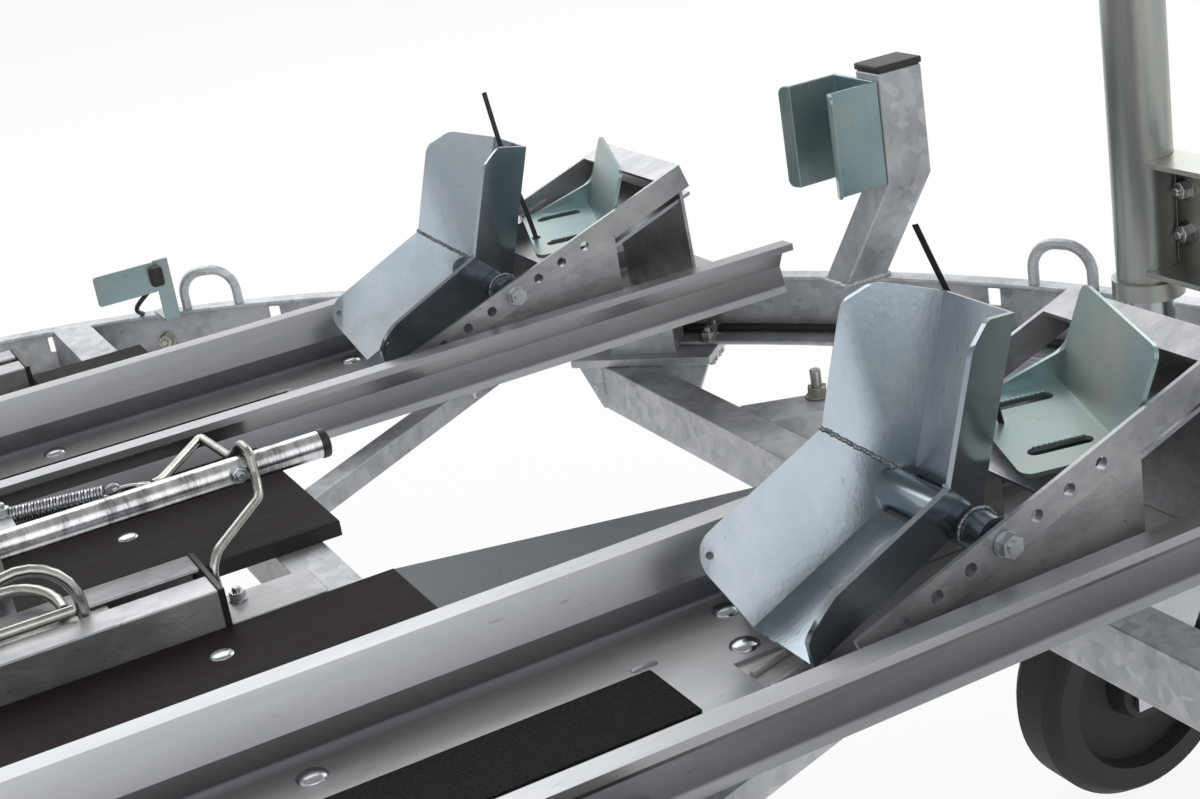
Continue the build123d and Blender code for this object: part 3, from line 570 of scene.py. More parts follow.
plankEdge = plainMaterial("plankEdge", {
    "dark": (0.004, 0.003, 0.003), "light": (0.014, 0.010, 0.009), "rough": 0.7, "scale": 40, "bump": 0.5,
    "stretch": (0.4, 0.4, 14),
})
wheelPaint = plainMaterial("wheelPaint", {
    "dark": (0.42, 0.43, 0.44), "light": (0.52, 0.53, 0.54), "rough": 0.35, "scale": 200, "bump": 0.1,
    "metallic": 0.7,
})
castIron = plainMaterial("castIron", {
    "dark": (0.03, 0.03, 0.03), "light": (0.08, 0.08, 0.08), "rough": 0.55, "scale": 90, "bump": 0.5,
    "metallic": 0.4,
})
tyreRubber = plainMaterial("tyreRubber", {
    "dark": (0.011, 0.011, 0.011), "light": (0.026, 0.026, 0.026), "rough": 0.72, "scale": 70, "bump": 0.35,
})
print("materials ready")


# What each CAD piece is finished with: material, slot, and how far its edges are rounded
surfaces = {}
for material, slotName, roundings in (
    (hotDipZinc, "galvanised_steel", {
        "perimeter_frame": 0.0014, "deck_framing": 0.0012, "front_crossbeam": 0.0014, "bow_brackets": 0.0012,
        "drawbar_arms": 0.0018, "axle_beam": 0.0015, "trailing_arms": 0.0, "holder_posts": 0.0022,
        "lashing_hoops": 0.0,
    }),
    (beamZinc, "galvanised_steel", {"chock_base_" + side: 0.0007 for side in rowNames}),
    (infillZinc, "galvanised_steel", {"infill_sheet": 0.0006}),
    (beamZinc, "zinc_sheet", {"lashing_beams": 0.0013}),
    (sheetZinc, "zinc_sheet", {"rail_" + side: 0.0028 for side in rowNames}),
    (rockerZinc, "zinc_sheet", {"rocker_" + side: 0.0007 for side in rowNames}),
    (brightZinc, "zinc_sheet", {"coupling_head": 0.0012}),
    (tubeZinc, "zinc_sheet", {"stowed_tube": 0.0}),
    (jackZinc, "yellow_zinc", {"jack_bracket": 0.0010, "jack_outer_tube": 0.0}),
    (greenZinc, "yellow_zinc", {"wheel_stops": 0.0009, "post_cradles": 0.0009}),
    (brightZinc, "yellow_zinc", {"jack_leg": 0.0008, "jack_crank": 0.0015}),
    (brightZinc, "bolt_steel", {"pivot_bolts": 0.0}),
    (blackPlastic, "black_plastic", {
        "coupling_lever": 0.002, "post_caps": 0.0015, "mudguards": 0.0010, "plate_holder": 0.0015,
    }),
    (castIron, "hub_metal", {"hub_left": 0.0012, "hub_right": 0.0012}),
    (wheelPaint, "wheel_paint", {"rim_left": 0.0, "rim_right": 0.0}),
    (tyreRubber, "tyre_rubber", {"tyre_left": 0.0, "tyre_right": 0.0}),
    (blackRubber, "tyre_rubber", {"jack_wheel": 0.0}),
    (blackRubber, "black_cable", {"lamp_cable": 0.0}),
    (redLens, "red_lens", {"rear_lamps": 0.0}),
    (plankFilm, "plywood", {"planks_inner": 0.0006, "planks_middle": 0.0006, "planks_outer": 0.0006}),
):
    for name, rounding in roundings.items():
        surfaces[name] = (material, slotName, rounding)


def mergedCopy(name):
    piece = newObject(name + "_surface", nodes[name].data.copy())
    choose(piece)
    if piece.data.has_custom_normals:
        bpy.ops.mesh.customdata_custom_splitnormals_clear()
    editAll(piece)
    bpy.ops.mesh.remove_doubles(threshold=0.00002)
    bpy.ops.mesh.dissolve_limited(angle_limit=math.radians(0.4))
    leaveEdit()
    return piece


def dressNode(name, shape=None):
    # the rounded copy stands for the CAD piece
    material, slotName, rounding = surfaces[name]
    piece = mergedCopy(name)
    if shape:
        shape(piece)
    soften(piece, rounding, 3 if rounding > 0.002 else 2)
    fit(piece, name + "_surface", body_of(nodes[name])[0], material)
    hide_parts(name)
    return piece


# Rockers: the rear corners of the lower tray are bent out, with a hole in each
rocker = {
    "sheet": (0.0033, 0.0036),  # a corner's edge through the sheet is this long
    "cornerRadius": 0.0052,
    "cornerTurn": 60,
    "wingEdge": 0.061,
    "wingLean": (0.031, 0.05),
    "cornerX": -0.1292,
    "cornerZ": -0.0057,
    "slope": 24.6,
    "foldAlong": 0.024,
    "foldDown": 0.027,
    "foldTurn": 16,
    "foldReach": 0.04,
    "cutReach": 0.25,
    "holeRadius": 0.0024,
    "holeInset": 0.0042,
    "mitreFoot": (0.0129, 0.030, 0.0044),
    "mitreTip": (-0.0281, 0.061, 0.0406),
    "seamRadius": 0.0016,
    "ringRadius": 0.0135,
    "ringY": 0.0475,
    "ringTurns": (20, 200, 15),
    "ringBead": 0.0011,
}


def bendCorners(piece, pivot):
    roundOutline(piece, rocker["cornerRadius"], rocker["cornerTurn"], rocker["sheet"])
    fall = math.radians(rocker["slope"])
    out, drop = rocker["wingLean"]
    for side in (1, -1):
        corner = pivot + Vector((rocker["cornerX"], side * rocker["wingEdge"], rocker["cornerZ"]))
        back = Vector((-math.cos(fall), 0, -math.sin(fall)))
        down = -Vector((-drop * math.sin(fall), side * out, drop * math.cos(fall))).normalized()
        start = corner - back * rocker["foldAlong"]
        end = corner + down * rocker["foldDown"]
        fold = (end - start).normalized()
        outward = back.cross(down).normalized()
        across = fold.cross(outward)
        if across.dot(corner - start) < 0:
            across = -across
        pick(piece, "FACE", lambda face: (face.center - corner).length < rocker["cutReach"])
        bpy.ops.mesh.bisect(plane_co=start, plane_no=across)
        leaveEdit()
        inward = Vector((0, -side, 0))
        turn = Matrix.Rotation(math.radians(rocker["foldTurn"]), 4, fold)
        if (turn @ across).dot(inward) > across.dot(inward):
            turn = Matrix.Rotation(-math.radians(rocker["foldTurn"]), 4, fold)
        for vertex in piece.data.vertices:
            near = (vertex.co - corner).length < rocker["foldReach"]
            if near and (vertex.co - start).dot(across) > 0.0002:
                vertex.co = start + turn @ (vertex.co - start)
        eye = start + (end - start) * 0.5 + turn @ (across * rocker["holeInset"])
        cutter = startRound(rocker["holeRadius"], 0.02, 16, eye, turn @ outward)
        hole = piece.modifiers.new("hole", "BOOLEAN")
        hole.operation = "DIFFERENCE"
        hole.object = cutter
        applyModifiers(piece)
        bpy.data.objects.remove(cutter)


def rockerPivot(side):
    joints = {joint["child"]: joint for joint in frame["record"]["behaviour"]["joints"]}
    return Vector(joints["rocker_" + side + "_body"]["pos_m"])


def weldBead(points, radius, spacing=0.9):
    # small overlapping drops along a line
    bpy.ops.object.select_all(action="DESELECT")
    bpy.ops.mesh.primitive_ico_sphere_add(subdivisions=2, radius=radius)
    drop = bpy.context.object
    spots = []
    for start, end in zip(points, points[1:]):
        count = max(1, int((end - start).length / (radius * spacing)))
        for index in range(count + 1):
            wander = Vector([random.uniform(-0.25, 0.25) * radius for axis in range(3)])
            spots.append((start + (end - start) * index / count + wander, (0, 0, 1), random.uniform(0, 90)))
    bead = repeatPiece(drop, spots)
    choose(bead)
    bpy.ops.object.shade_smooth()
    return bead


def makeRockers():
    for side in rowNames:
        pivot = rockerPivot(side)
        body = "rocker_" + side + "_body"
        dressNode("rocker_" + side, lambda piece: bendCorners(piece, pivot))
        seams = []
        for sign in (1, -1):
            mitre = [Vector((x, y * sign, z)) for x, y, z in (rocker["mitreFoot"], rocker["mitreTip"])]
            seams.append(weldBead([pivot + point for point in mitre], rocker["seamRadius"]))
        turns = [math.radians(angle) for angle in range(*rocker["ringTurns"])]
        radius = rocker["ringRadius"]
        for sign in (1, -1):
            ringY = sign * rocker["ringY"]
            ring = [pivot + Vector((radius * math.cos(a), ringY, radius * math.sin(a))) for a in turns]
            seams.append(weldBead(ring, rocker["ringBead"]))
        fit(joinPieces(seams), "rocker_seams_" + side, body, weldSteel)


# Rails: grit strips, carriage bolts, two nuts below, and a plate with rods below each window
rail = {
    "floorTop": 0.400,
    "sheet": 0.003,
    "gritSize": (1.83, 0.062, 0.0018),
    "gritFront": 0.680,
    "gritShift": 0.006,
    "gritGap": 0.0002,
    "boltSpots": (
        (0.479, 0.066), (0.753, 0.072), (0.738, 0.026), (0.479, -0.062),
        (-0.363, 0.066), (-0.363, -0.062), (-0.752, 0.066), (-0.752, -0.062),
    ),
    "bolt": (0.0098, 0.0042),
    "nutSpots": ((0.758, -0.070), (0.811, -0.071)),
    "nut": (0.013, 0.0065, 0.004, 0.013, 0.0085),
    "plateSize": (0.07, 0.074, 0.003),
    "plateSpot": (0.744, -0.012),
    "plateInset": 0.0155,
    "rods": ((0.7235, -0.016), (0.7645, -0.004)),
    "rodShift": 0.010,
    "rodRadius": 0.0022,
}
railMiddles = [sum(corner.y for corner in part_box("rail_" + side)) / 2 for side in rowNames]


def domeHead(radius, height):
    bpy.ops.object.select_all(action="DESELECT")
    bpy.ops.mesh.primitive_uv_sphere_add(segments=24, ring_count=14, radius=radius)
    head = bpy.context.object
    editAll(head)
    bpy.ops.mesh.bisect(plane_co=(0, 0, radius * 0.12), plane_no=(0, 0, 1), clear_inner=True, use_fill=True)
    bpy.ops.mesh.select_all(action="SELECT")
    bpy.ops.transform.resize(value=(1, 1, height / radius), center_override=(0, 0, radius * 0.12))
    bpy.ops.transform.translate(value=(0, 0, -radius * 0.12))
    leaveEdit()
    choose(head)
    bpy.ops.object.shade_smooth_by_angle(angle=math.radians(40))
    return head


def hexNut(across, height, stud, studLength, washer):
    # a nut on its washer, with the bolt's end through it; stud and washer are radii
    nut = startRound(across / math.sqrt(3), height, 6, (0, 0, 0.0012 + height / 2))
    insetFaces(nut, (0, 0, 1), across * 0.1, height * 0.08)
    bolt = startRound(stud, studLength, 16, (0, 0, studLength / 2))
    insetFaces(bolt, (0, 0, 1), stud * 0.25, stud * 0.25)
    whole = joinPieces([nut, startRound(washer, 0.0014, 24, (0, 0, 0.0007)), bolt])
    soften(whole, 0.0003)
    return whole


def makeRailParts():
    bolts, nuts, strips, plates = [], [], [], []
    top, sheet = rail["floorTop"], rail["sheet"]
    length, width, thickness = rail["gritSize"]
    plateX, plateY = rail["plateSpot"]
    for middle in railMiddles:
        bolts += [(place(x, middle + y, top), (0, 0, 1), 0) for x, y in rail["boltSpots"]]
        nuts += [(place(x, middle + y, top - sheet), (0, 0, -1), 20) for x, y in rail["nutSpots"]]
        height = top + rail["gritGap"] + thickness / 2
        spot = place(rail["gritFront"] - length / 2, middle + rail["gritShift"], height)
        strips.append(cutPlate(rail["gritSize"], spot, 0.0004, 0.002, 1))
        height = top - sheet - rail["plateSize"][2] / 2
        plate = startBlock(rail["plateSize"], place(plateX, middle + plateY, height))
        insetFaces(plate, (0, 0, 1), rail["plateInset"], 0.0004)
        soften(plate, 0.0005)
        plates.append(plate)
        for shift in (-rail["rodShift"], rail["rodShift"]):
            ends = [place(x, middle + y + shift, top - 0.001) for x, y in rail["rods"]]
            plates.append(bentRod(ends, rail["rodRadius"]))
    fitFasteners(domeHead(*rail["bolt"]), bolts, "rail_bolts", brightZinc)
    fitFasteners(hexNut(*rail["nut"]), nuts, "rail_nuts", wireZinc)
    fit(joinPieces(strips), "grit_strips", "frame", gritMat)
    # plates and rods below the windows get the paler zinc, which is painted light
    fit(joinPieces(plates), "window_plates", "frame", mattePaintedLightZinc)


# Planks: dark film on top, near-black cut edges, dome bolts
plank = {
    "top": 0.409,
    "boltSpots": (
        (0.479, 0.245), (0.487, 0.850), (-0.363, 0.195), (-0.363, 0.485), (-0.363, 0.835),
        (-0.752, 0.195), (-0.752, 0.485), (-0.752, 0.835), (0.479, 0.485),
    ),
    "bolt": (0.0082, 0.0026),
}


def makePlanks():
    for name in ("planks_inner", "planks_middle", "planks_outer"):
        piece = dressNode(name)
        piece.data.materials.append(plankEdge)
        for face in piece.data.polygons:
            if abs(face.normal.z) < 0.4:
                face.material_index = 1
    spots = bothSides([(x, y, plank["top"]) for x, y in plank["boltSpots"]], (0, 0, 1), 0)
    fitFasteners(domeHead(*plank["bolt"]), spots, "plank_bolts", brightZinc)


# Lashing beams: black end seals, and a pair of rings in the slot of each inner beam
lash = {
    "top": 0.435,
    "front": 0.494,
    "middles": (0.319, 0.934),
    "width": 0.072,
    "height": 0.0377,
    "wall": 0.003,
    "seal": 0.004,
    "sealWall": 0.005,
    "wire": 0.0042,
    "holder": (0.100, 0.034, 0.005),
    "holderX": 0.380,
    # each ring's middle and reach along the beam, then how far out and up its feet, ends and crown are
    "rings": (
        (0.380, 0.034, (0.0, -0.012), (0.0, 0.006), (0.006, 0.031)),
        (0.372, 0.031, (0.002, 0.0037), (0.006, 0.0042), (0.036, 0.008)),
    ),
    "bar": ((0.408, -0.001, 0.0028), (0.336, -0.001, 0.0028)),
}


def endSeal(x, y):
    # a flat frame on the front end of the beam, cut from a block by an inset
    middle = place(x + lash["seal"] / 2, y, lash["top"] - lash["height"] / 2)
    seal = startBlock((lash["seal"], lash["width"] + 0.001, lash["height"] + 0.001), middle)
    pick(seal, "FACE", lambda face: abs(face.normal.x) > 0.9)
    bpy.ops.mesh.inset(thickness=lash["sealWall"])
    bpy.ops.mesh.bridge_edge_loops()
    leaveEdit()
    soften(seal, 0.0008)
    return seal


def lashingRing(side, shape):
    middle, reach, feet, ends, crown = shape
    arc = [math.radians(a) for a in range(0, 181, 15)]
    points = [(math.cos(a), *[ends[i] + crown[i] * math.sin(a) for i in (0, 1)]) for a in arc]
    points = [(1, *feet), *points, (-1, *feet)]
    y, top = side * lash["middles"][0], lash["top"] + 0.001
    spots = [place(middle + reach * along, y + side * out, top + up) for along, out, up in points]
    return bentRod(spots, lash["wire"])


def makeLashing():
    seals = [endSeal(lash["front"], side * middle) for middle in lash["middles"] for side in (1, -1)]
    fit(joinPieces(seals), "beam_seals", "frame", blackPlastic)
    rings = []
    under = lash["top"] - lash["wall"] - lash["holder"][2] / 2
    for side in (1, -1):
        rings += [lashingRing(side, shape) for shape in lash["rings"]]
        y = side * lash["middles"][0]
        bar = [place(x, y + side * out, lash["top"] + 0.001 + up) for x, out, up in lash["bar"]]
        rings.append(bentRod(bar, lash["wire"]))
        rings.append(cutPlate(lash["holder"], place(lash["holderX"], y, under), 0.0006, 0.003))
    fit(joinPieces(rings), "lashing_rings", "frame", wireZinc)


# Latch of the stowed tube: bent rod, spring with its hook, and the lug and plate that hold them
latch = {
    "rod": 0.0034,
    "rodBend": 0.0045,
    "route": (
        (0.502, 0.323, 0.398), (0.502, 0.325, 0.431), (0.509, 0.331, 0.441), (0.5535, 0.368, 0.4535),
        (0.5575, 0.3825, 0.463), (0.5590, 0.390, 0.479), (0.5575, 0.405, 0.482), (0.5555, 0.4165, 0.472),
        (0.5545, 0.4285, 0.465), (0.549, 0.489, 0.465), (0.5015, 0.427, 0.465), (0.4955, 0.4245, 0.4655),
    ),
    "eye": (0.4905, 0.4245, 0.4655),
    "eyeRadius": 0.0052,
    "eyeWire": 0.0026,
    "springFront": (0.464, 0.437, 0.465),
    "springRear": (0.401, 0.4515, 0.465),
    "springRadius": 0.0052,
    "springWire": 0.00095,
    "springTurns": 30,
    "loopWire": 0.0011,
    "loopReach": 0.0055,
    "hook": ((0.484, 0.4275, 0.4675), (0.4895, 0.4225, 0.4665)),
    "hookWire": 0.0016,
    "holders": (
        ((0.014, 0.046, 0.003), (0.393, 0.4325, 0.4645), 0.0006),
        ((0.078, 0.046, 0.003), (0.531, 0.325, 0.3988), 0.0008),
    ),
    "nut": (0.010, 0.005, 0.003, 0.009, 0.0065),
    "nutSpots": (
        ((0.516, 0.335, 0.4003), (0, 0, 1), 12),
        ((0.548, 0.3902, 0.466), (0, -1, 0.1), 5),
        ((0.3955, 0.4515, 0.466), (0, 0, 1), 30),
    ),
    "cap": (0.0108, 0.006),
    "capMiddle": (0.6144, 0.400, 0.465),
}


def coil(start, end, radius, wire, turns, steps=9):
    axis = (end - start).normalized()
    side = axis.cross(Vector((0, 0, 1))).normalized()
    rise = side.cross(axis)
    points = []
    for index in range(turns * steps + 1):
        angle = 2 * math.pi * index / steps
        along = start + (end - start) * index / (turns * steps)
        points.append(along + side * radius * math.cos(angle) + rise * radius * math.sin(angle))
    return bentRod(points, wire, sides=1)


def ringWire(middle, radius, wire, facing):
    turn = Vector((0, 0, 1)).rotation_difference(Vector(facing)).to_matrix()
    arc = [math.radians(a) for a in range(0, 331, 22)]
    points = [middle + turn @ Vector((radius * math.cos(a), radius * math.sin(a), 0)) for a in arc]
    return bentRod(points, wire)


def makeLatch():
    rod = bentRod([place(*point) for point in latch["route"]], latch["rod"], latch["rodBend"])
    eye = ringWire(place(*latch["eye"]), latch["eyeRadius"], latch["eyeWire"], (0.3, 0.2, 1))
    fit(joinPieces([rod, eye]), "latch_rod", "frame", wireZinc)
    front, rear = place(*latch["springFront"]), place(*latch["springRear"])
    run = (front - rear).normalized()
    spring = [coil(rear, front, latch["springRadius"], latch["springWire"], latch["springTurns"])]
    for end, reach in ((front, latch["loopReach"]), (rear, -latch["loopReach"])):
        spring.append(ringWire(end + run * reach, latch["eyeRadius"], latch["loopWire"], (0, 1, 0.2)))
    hook = [front + run * 0.006, front + run * 0.012 + Vector((0, 0, 0.001))]
    hook += [place(*point) for point in latch["hook"]]
    spring.append(bentRod(hook, latch["hookWire"], 0.003))
    fit(joinPieces(spring), "latch_spring", "frame", brightZinc)
    holders = [cutPlate(size, place(*spot), soft, 0.004) for size, spot, soft in latch["holders"]]
    fit(joinPieces(holders), "latch_plates", "frame", beamZinc)
    spots = [(place(*spot), facing, turn) for spot, facing, turn in latch["nutSpots"]]
    fitFasteners(hexNut(*latch["nut"]), spots, "latch_nuts", brightZinc)
    cap = startRound(*latch["cap"], 32, place(*latch["capMiddle"]), (1, 0, 0))
    insetFaces(cap, (1, 0, 0), 0.0022, 0.0008)
    soften(cap, 0.0012, 3)
    fit(cap, "tube_cap", "frame", blackPlastic)


# Cable ties left standing on two chocks; the one at the centre bends where its rocker tilts
tie = {
    "width": 0.0015,
    "thickness": 0.0006,
    "head": (0.0075, 0.0055, 0.007),
    "centre": (
        (0.922, 0.016, 0.4765), (0.919, 0.022, 0.515), (0.911, 0.036, 0.557), (0.902, 0.040, 0.584),
        (0.890, 0.042, 0.618),
    ),
    "bendStart": (0.922, 0.016, 0.480),
    "bendEnd": (0.915, 0.030, 0.530),
    "left": (
        (0.918, 0.667, 0.486), (0.914, 0.668, 0.512), (0.905, 0.667, 0.545), (0.899, 0.668, 0.580),
        (0.895, 0.672, 0.6235),
    ),
}


def makeTie(side, body):
    points = [place(*point) for point in tie[side]]
    strap = smoothLine(points, tie["thickness"], tie["width"], 1, False)
    head = cutPlate(tie["head"], points[0] - Vector((0, 0, 0.001)), 0.0012)
    return fit(joinPieces([strap, head]), "cable_tie_" + side, body, blackPlastic)


def makeTies():
    whole = makeTie("centre", None)
    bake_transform(whole, "frame", "rocker_centre_body", place(*tie["bendStart"]), place(*tie["bendEnd"]))
    makeTie("left", "frame")


# Fasteners on the frame, the chassis joints, the posts, the jack and the coupling
fixings = {
    "frameNuts": ((0.300, 1.163, 0.341), (-0.420, 1.163, 0.341)),
    "webNut": ((0.6656, 1.095, 0.3642), (-0.49, -0.87, 0)),
    "frameNut": (0.014, 0.007, 0.004, 0.010, 0.010),
    "armStuds": ((1.083, 0.496, 0.3295),),
    "armNut": (0.016, 0.008, 0.005, 0.024, 0.011),
    "bowX": 0.288,
    "jointReach": 1.075,
    "jointBolts": ((-0.036, 0.060), (-0.015, 0.060), (-0.036, -0.060), (-0.015, -0.060)),
    "jointAngle": 43.8,
    "jointZ": 0.3287,
    "jointDepth": 0.0123,
    "jointNut": (0.013, 0.007, 0.004, 0.012, 0.0095),
    "postBolts": ((1.2265, 0.512, 0.519), (1.2265, 0.512, 0.574)),
    "postBolt": (0.0085, 0.0065),
    "jackBolts": (
        (1.273, 0.1885, 0.475), (1.273, 0.1885, 0.510), (1.273, 0.2365, 0.475), (1.273, 0.2365, 0.510),
    ),
    "jackNut": (0.013, 0.007, 0.004, 0.011, 0.010),
    "couplingBolts": ((1.925, 0.046, 0.3375), (2.045, 0.046, 0.3375)),
    "couplingNut": (0.019, 0.010, 0.006, 0.016, 0.0125),
}


def makeFixings():
    up = (0, 0, 1)
    studs = bothSides(fixings["armStuds"], up, 25)
    fitFasteners(hexNut(*fixings["armNut"]), studs, "arm_studs", wireZinc)
    spot, facing = fixings["webNut"]
    nuts = bothSides(fixings["frameNuts"], up, 15) + bothSides([spot], facing, 20)
    fitFasteners(hexNut(*fixings["frameNut"]), nuts, "frame_nuts", wireZinc)
    joints = []
    for side in (1, -1):
        angle = math.radians(side * fixings["jointAngle"])
        out = Vector((math.cos(angle), math.sin(angle), 0))
        across = Vector((-math.sin(angle), math.cos(angle), 0))
        for reach, shift in fixings["jointBolts"]:
            spot = place(fixings["bowX"], 0, fixings["jointZ"])
            spot += out * (fixings["jointReach"] + reach) + across * shift
            joints.append((spot, (0, 0, -1), 10))
            joints.append((spot + Vector((0, 0, fixings["jointDepth"])), up, 35))
    fitFasteners(hexNut(*fixings["jointNut"]), joints, "joint_bolts", wireZinc)
    heads = repeatPiece(domeHead(*fixings["postBolt"]), bothSides(fixings["postBolts"], (1, 0, 0), 0))
    fit(heads, "post_bolts", "frame", blackPlastic)
    bolts = [(place(*spot), (-1, 0, 0), 12) for spot in fixings["jackBolts"]]
    fitFasteners(hexNut(*fixings["jackNut"]), bolts, "jack_bolts", brightZinc)
    bolts = bothSides(fixings["couplingBolts"], up, 10)
    fitFasteners(hexNut(*fixings["couplingNut"]), bolts, "coupling_bolts", brightZinc)


# Marker plates on the frame, each with its leg and foot, a small housing behind and its lead
marker = {
    "middle": (0.629, 1.046, 0.446),
    # size, shift from the plate's middle, corner radius
    "sheets": (
        ((0.062, 0.002, 0.031), (0, 0, 0), 0.003),
        ((0.016, 0.002, 0.064), (0.039, 0.004, -0.0165), 0),
        ((0.016, 0.046, 0.002), (0.039, 0.026, -0.0480), 0),
    ),
    "housing": ((0.013, 0.012, 0.020), (0.031, -0.002, 0.001), 0.003),
    "lead": (
        (0.030, 0.004, -0.008), (0.018, 0.008, -0.018), (0.008, 0.018, -0.030), (0.012, 0.040, -0.042),
        (0.020, 0.054, -0.0485),
    ),
    "leadRadius": 0.0024,
}


def markerSpot(side, shift):
    x, y, z = [middle + step for middle, step in zip(marker["middle"], shift)]
    return place(x, side * y, z)


def makeMarkers():
    plates, dark = [], []
    for side in (1, -1):
        for size, shift, corner in marker["sheets"]:
            plates.append(cutPlate(size, markerSpot(side, shift), 0.0005, corner))
        size, shift, corner = marker["housing"]
        dark.append(cutPlate(size, markerSpot(side, shift), 0.001, corner))
        lead = smoothLine([markerSpot(side, shift) for shift in marker["lead"]], marker["leadRadius"])
        bpy.ops.object.shade_smooth()
        dark.append(lead)
    fit(joinPieces(plates), "marker_plates", "frame", greenZinc)
    fit(joinPieces(dark), "marker_housings", "frame", blackPlastic)


# Serrations along one edge of each slot in the wheel stops
stop = {
    "corner": (0.1319, 0.0408, 0.0300),
    "turn": (5.1, -2.2, -18.7),
    "slots": (0.0214, 0.0839),
    "slotStart": 0.0148,
    "slotHalf": 0.0042,
    "teeth": 10,
    "pitch": 0.0033,
    "toothRadius": 0.0015,
    "toothHeight": 0.0024,
    "toothRise": 0.0004,
}


def makeTeeth():
    spots = []
    turnX, turnY, turnZ = [math.radians(a) for a in stop["turn"]]
    for side in rowNames:
        corner = rockerPivot(side) + Vector(stop["corner"])
        base = Matrix.Translation(corner) @ Matrix.Rotation(turnZ, 4, "Z")
        base = base @ Matrix.Rotation(turnY, 4, "Y") @ Matrix.Rotation(turnX, 4, "X")
        up = base.to_3x3() @ Vector((0, 0, 1))
        for slotY in stop["slots"]:
            for index in range(stop["teeth"]):
                along = stop["slotStart"] + index * stop["pitch"]
                spots.append((base @ Vector((-along, stop["slotHalf"] - slotY, stop["toothRise"])), up, 0))
    tooth = startRound(stop["toothRadius"], stop["toothHeight"], 8)
    soften(tooth, 0.0003, 1)
    fit(repeatPiece(tooth, spots), "stop_teeth", "frame", greenZinc)


# Tyres: a turned section with four grooves, cross cuts through the tread, and the wheel nuts
tyre = {
    "steps": 180,
    "cutEvery": 5,
    "cutDepth": 0.006,
    "cutFrom": 0.2638,
    "cutHalf": 0.066,
    "cutSlant": 3.2,
    "halfSection": (
        (0.170, 0.0595), (0.178, 0.0655), (0.196, 0.0725), (0.216, 0.0772), (0.232, 0.0765),
        (0.246, 0.0725), (0.2565, 0.0685), (0.2625, 0.0640), (0.2655, 0.0560), (0.2674, 0.0440),
        (0.2600, 0.0430), (0.2604, 0.0370), (0.2692, 0.0360), (0.2706, 0.0260), (0.2715, 0.0160),
        (0.2630, 0.0150), (0.2632, 0.0100), (0.2722, 0.0090),
    ),
    "crown": 0.2726,
    "inside": ((0.1705, -0.030), (0.1705, 0.030)),
    "nut": (0.019, 0.012, 0.006, 0.015, 0.0105),
    "nutCircle": 0.05,
    "nutOut": 0.0352,
}


def makeTyre(side, sign):
    low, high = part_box("tyre_" + side)
    middle = (low + high) / 2
    half = list(tyre["halfSection"])
    section = half + [(tyre["crown"], 0.0)] + [(r, -y) for r, y in half[::-1]] + list(tyre["inside"])
    piece = spinSection(section, tyre["steps"])
    step = 2 * math.pi / tyre["steps"]

    def isCut(face):
        x, y, z = face.center
        radius = math.hypot(x, z)
        if radius < tyre["cutFrom"] or abs(y) > tyre["cutHalf"]:
            return False
        turn = math.atan2(z, x) + abs(y) * tyre["cutSlant"]
        return int((turn + 2 * math.pi) / step + 0.5) % tyre["cutEvery"] == 0

    pick(piece, "FACE", isCut)
    bpy.ops.mesh.extrude_region_shrink_fatten(TRANSFORM_OT_shrink_fatten={"value": -tyre["cutDepth"]})
    leaveEdit()
    piece.location = middle
    bpy.ops.object.shade_smooth_by_angle(angle=math.radians(35))
    fit(piece, "tyre_tread_" + side, "wheel_" + side, tyreRubber)
    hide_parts("tyre_" + side)
    nuts = []
    radius, out = tyre["nutCircle"], sign * tyre["nutOut"]
    for index in range(4):
        turn = math.pi / 2 * index
        spot = middle + Vector((radius * math.cos(turn), out, radius * math.sin(turn)))
        nuts.append((spot, (0, sign, 0), 15 * index))
    fitFasteners(hexNut(*tyre["nut"]), nuts, "wheel_nuts_" + side, brightZinc, "wheel_" + side)


# Rear lamps: housing behind, three lens fields in front, red, amber and clear
lamp = {
    "depth": 0.046,
    "housingDepth": 0.018,
    "housingCorner": 0.008,
    "rim": 0.004,
    "fields": ((0.098, redLens), (0.058, amberLens), (0.046, clearLens)),
    "gap": 0.0015,
}


def makeLamps():
    low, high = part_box("rear_lamps")
    parts = []
    housingDepth, rim = lamp["housingDepth"], lamp["rim"]
    fieldDepth = lamp["depth"] - housingDepth
    height, middleZ = high.z - low.z, (low.z + high.z) / 2
    width = sum(size for size, lens in lamp["fields"]) + 2 * rim
    for side in (1, -1):
        middle = (high.x - housingDepth / 2, side * (high.y - width / 2), middleZ)
        housing = cutPlate((housingDepth, width, height), middle, 0.0015, lamp["housingCorner"])
        housing.data.materials.append(blackPlastic)
        parts.append(housing)
        edge = high.y - rim
        for size, lens in lamp["fields"]:
            middle = (low.x + fieldDepth / 2, side * (edge - size / 2), middleZ)
            field = startBlock((fieldDepth, size - lamp["gap"], height - 2 * rim), middle)
            insetFaces(field, (-1, 0, 0), 0.004, -0.0012)
            soften(field, 0.003, 3)
            field.data.materials.append(lens)
            parts.append(field)
            edge -= size
    whole = joinPieces(parts)
    fit(whole, "lamp_lenses", "frame")
    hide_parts("rear_lamps")


# Welds where the posts stand on the bow
weld = {
    "postBase": (1.180, 0.566, 0.3985),
    "postHalf": (0.0232, 0.0182),
    "radius": 0.0024,
}


def makeWelds():
    beads = []
    x, y, z = weld["postBase"]
    halfX, halfY = weld["postHalf"]
    for side in (1, -1):
        corners = ((1, 1), (-1, 1), (-1, -1), (1, -1), (1, 1))
        loop = [place(x + a * halfX, side * y + b * halfY, z) for a, b in corners]
        beads.append(weldBead(loop, weld["radius"]))
    fit(joinPieces(beads), "post_welds", "frame", hotDipZinc)


